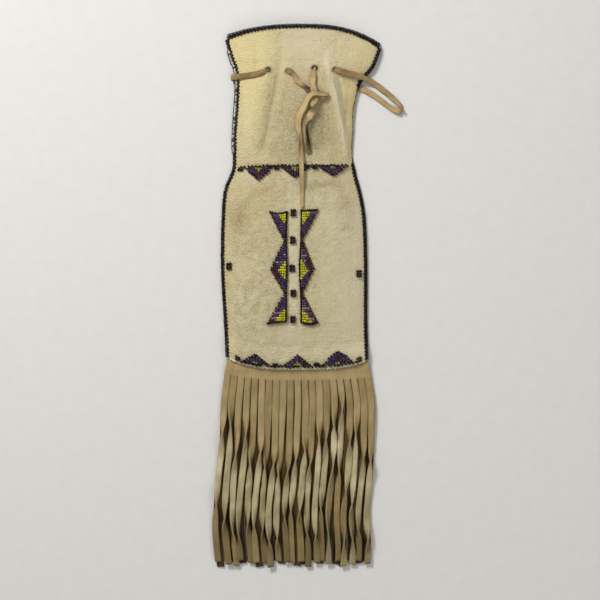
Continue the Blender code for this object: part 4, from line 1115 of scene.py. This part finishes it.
def edgeLine(which):
    # The hide's edge as (top of the hide, middle between the hides), bottom to mouth or
    # left to right.
    if which in ("left", "right"):
        side = -1 if which == "left" else 1
        y = np.linspace(bottomLine(side) + 0.0016, mouthLine(side), edging["samples"])
        x = place(side, y)
        gap = headerStack(y - bottomLine(side)) + bag["seatGap"]
        middle = backHeight(y) + bag["hideThick"] + 0.5 * gap
        top = middle + 0.5 * gap + bag["hideThick"]
    else:
        front = which == "front"
        u = np.linspace(-1, 1, edging["samples"])
        y = mouthLine(u) + (0 if front else bag["backLip"])
        x = place(u, y)
        top = frontHeight(x, y) if front else backHeight(y) + bag["hideThick"]
        middle = top - 0.5 * bag["hideThick"]
    return columns(x, y, top), columns(x, y, middle)


def makeEdging(name, which, finish, node, seed):
    # Whip stitches of two beads over the edge, every second one reaching further in, so
    # that the line is toothed. On the left neck the outer bead is pale, with a black one
    # under it.
    source = np.random.default_rng(seed)
    topLine, middleLine = edgeLine(which)
    count = round(runAlong(topLine)[-1] / edging["pitch"])
    (top, along), (middle, _) = evenly(topLine, count), evenly(middleLine, count)
    outward = unit(np.cross(along, (0, 0, 1 if which == "right" else -1)))
    y = top[:, 1]
    hidden = tuckedSide(y) * (which == "right")
    white = (which == "left") * ease(0.2, 0.208, y) * (1 - ease(0.296, 0.304, y)) > 0.5
    rolled = rolledEdge(y) * hidden

    def moved(start, place, tuck, more):   # outwards and up, less what is turned under
        out = place[0] - tuck[0] * hidden - rolled + more
        return start + outward * out[:, None] + columns(0, 0, place[1] - tuck[1] * hidden)

    teeth = edging["tooth"] * (np.arange(count) % 2) - edging["whiteInset"] * white
    inner = moved(top, edging["inner"], edging["innerTuck"], teeth)
    outer = moved(middle, edging["outer"], edging["outerTuck"], 0)
    out, up = edging["under"]
    under = (middle + outward * out + (0, 0, up))[white]
    tints = [darkTint(source, 0.92) for _ in range(count)]
    for w in white:
        tints.append(("white" if source.random() < 0.75 else "clear") if w else "black")
    tints += ["black"] * len(under)
    middles = np.concatenate([inner, outer, under])
    axes = np.concatenate([outward - (0, 0, 0.35), outward * 0.3 - (0, 0, 0.9),
                           along[white] - (0, 0, 0.2)])
    middles = middles + source.normal(0, 0.0001, middles.shape)
    ups = (0, 0, 1) + np.concatenate([along, along, outward[white]]) * 0.5
    beadCloud(name, middles, axes, tints, finish, "black_beads", [node], seed, ups,
              edging["radius"], edging["length"])


stitches = {"count": 66, "reach": 0.96, "radius": 0.0005, "length": 0.0019}


def makeSeamStitches(finish):
    # Sinew whip stitches along the bottom seam, each a short rod over the hide's edge.
    source = np.random.default_rng(9)
    count, reach = stitches["count"], stitches["reach"]
    u = np.linspace(-reach, reach, count) + source.normal(0, 0.003, count)
    y = bottomLine(u)
    x = place(u, y)
    z = frontHeight(x, y)
    middles = columns(x, y + 0.0004 + source.normal(0, 0.00015, count), z + 0.0002)
    axes = columns(source.normal(0.35, 0.2, count), 1, 0.15)
    beadCloud("seamStitches", middles, axes, ["sinew"] * count, finish, "buckskin", [], 9,
              radius=stitches["radius"], length=stitches["length"])


# Making

makeLace(leatherFinish("smoked lace leather", (103, 78, 36), (190, 165, 118), (84, 65, 36),
                       (1.0, 1.0, 1.0), 0.8))
makeFrontHide(hideFinish("brain tanned hide"))
makeBackHide(hideFinish("brain tanned hide back", True))
outerSkin = leatherFinish("fringe leather outer", (126, 106, 66), (170, 148, 105),
                          (150, 134, 96))
reverseSkin = leatherFinish("fringe leather reverse", (150, 137, 97), (201, 189, 151),
                            (176, 162, 122))
# The back strips are darker than their leather as painted shade, so that the gaps between the
# front strips look shadowed.
darkSkin = leatherFinish("fringe leather under", (54, 41, 18), (112, 84, 42), (70, 54, 28))
frontRest, backRest = fringe["rests"]
makeFringe("fringeFront", fringe["front"], frontRest, 0, [outerSkin, reverseSkin],
           "fringe_front")
makeFringe("fringeBack", backHabits(), backRest, 7, [darkSkin, darkSkin], "fringe_back")

blackGlass = glassFinish("black glass beads", 0.16)
fieldGlass = glassFinish("dark glass beads", 0.2)
lightGlass = glassFinish("light glass beads", 0.24)
for figure, node in zip(figures, ("left_figure", "right_figure")):
    makeFigure(figure, node, (fieldGlass, lightGlass))
for k, (x, y) in enumerate(boxes["centre"]):
    makeBox(f"centreBox{k + 1}", x, y, fieldGlass, f"centre_box_{k + 1}", 40 + k)
for name, node, (x, y) in zip(("leftBox", "rightBox"), ("side_box_left", "side_box_right"),
                              boxes["sides"]):
    makeBox(name, x, y, fieldGlass, node, 50)
for band, node in zip(bands, ("upper_band", "lower_band")):
    makeBand(band, node, (fieldGlass, lightGlass))
for name, which, node, seed in (("leftEdging", "left", "left_seam_beads", 61),
                                ("rightEdging", "right", "right_seam_beads", 62),
                                ("mouthEdgingFront", "front", "mouth_beads_front", 63),
                                ("mouthEdgingBack", "back", "mouth_beads_back", 64)):
    makeEdging(name, which, blackGlass, node, seed)
makeSeamStitches(glassFinish("sinew thread", 0.6))
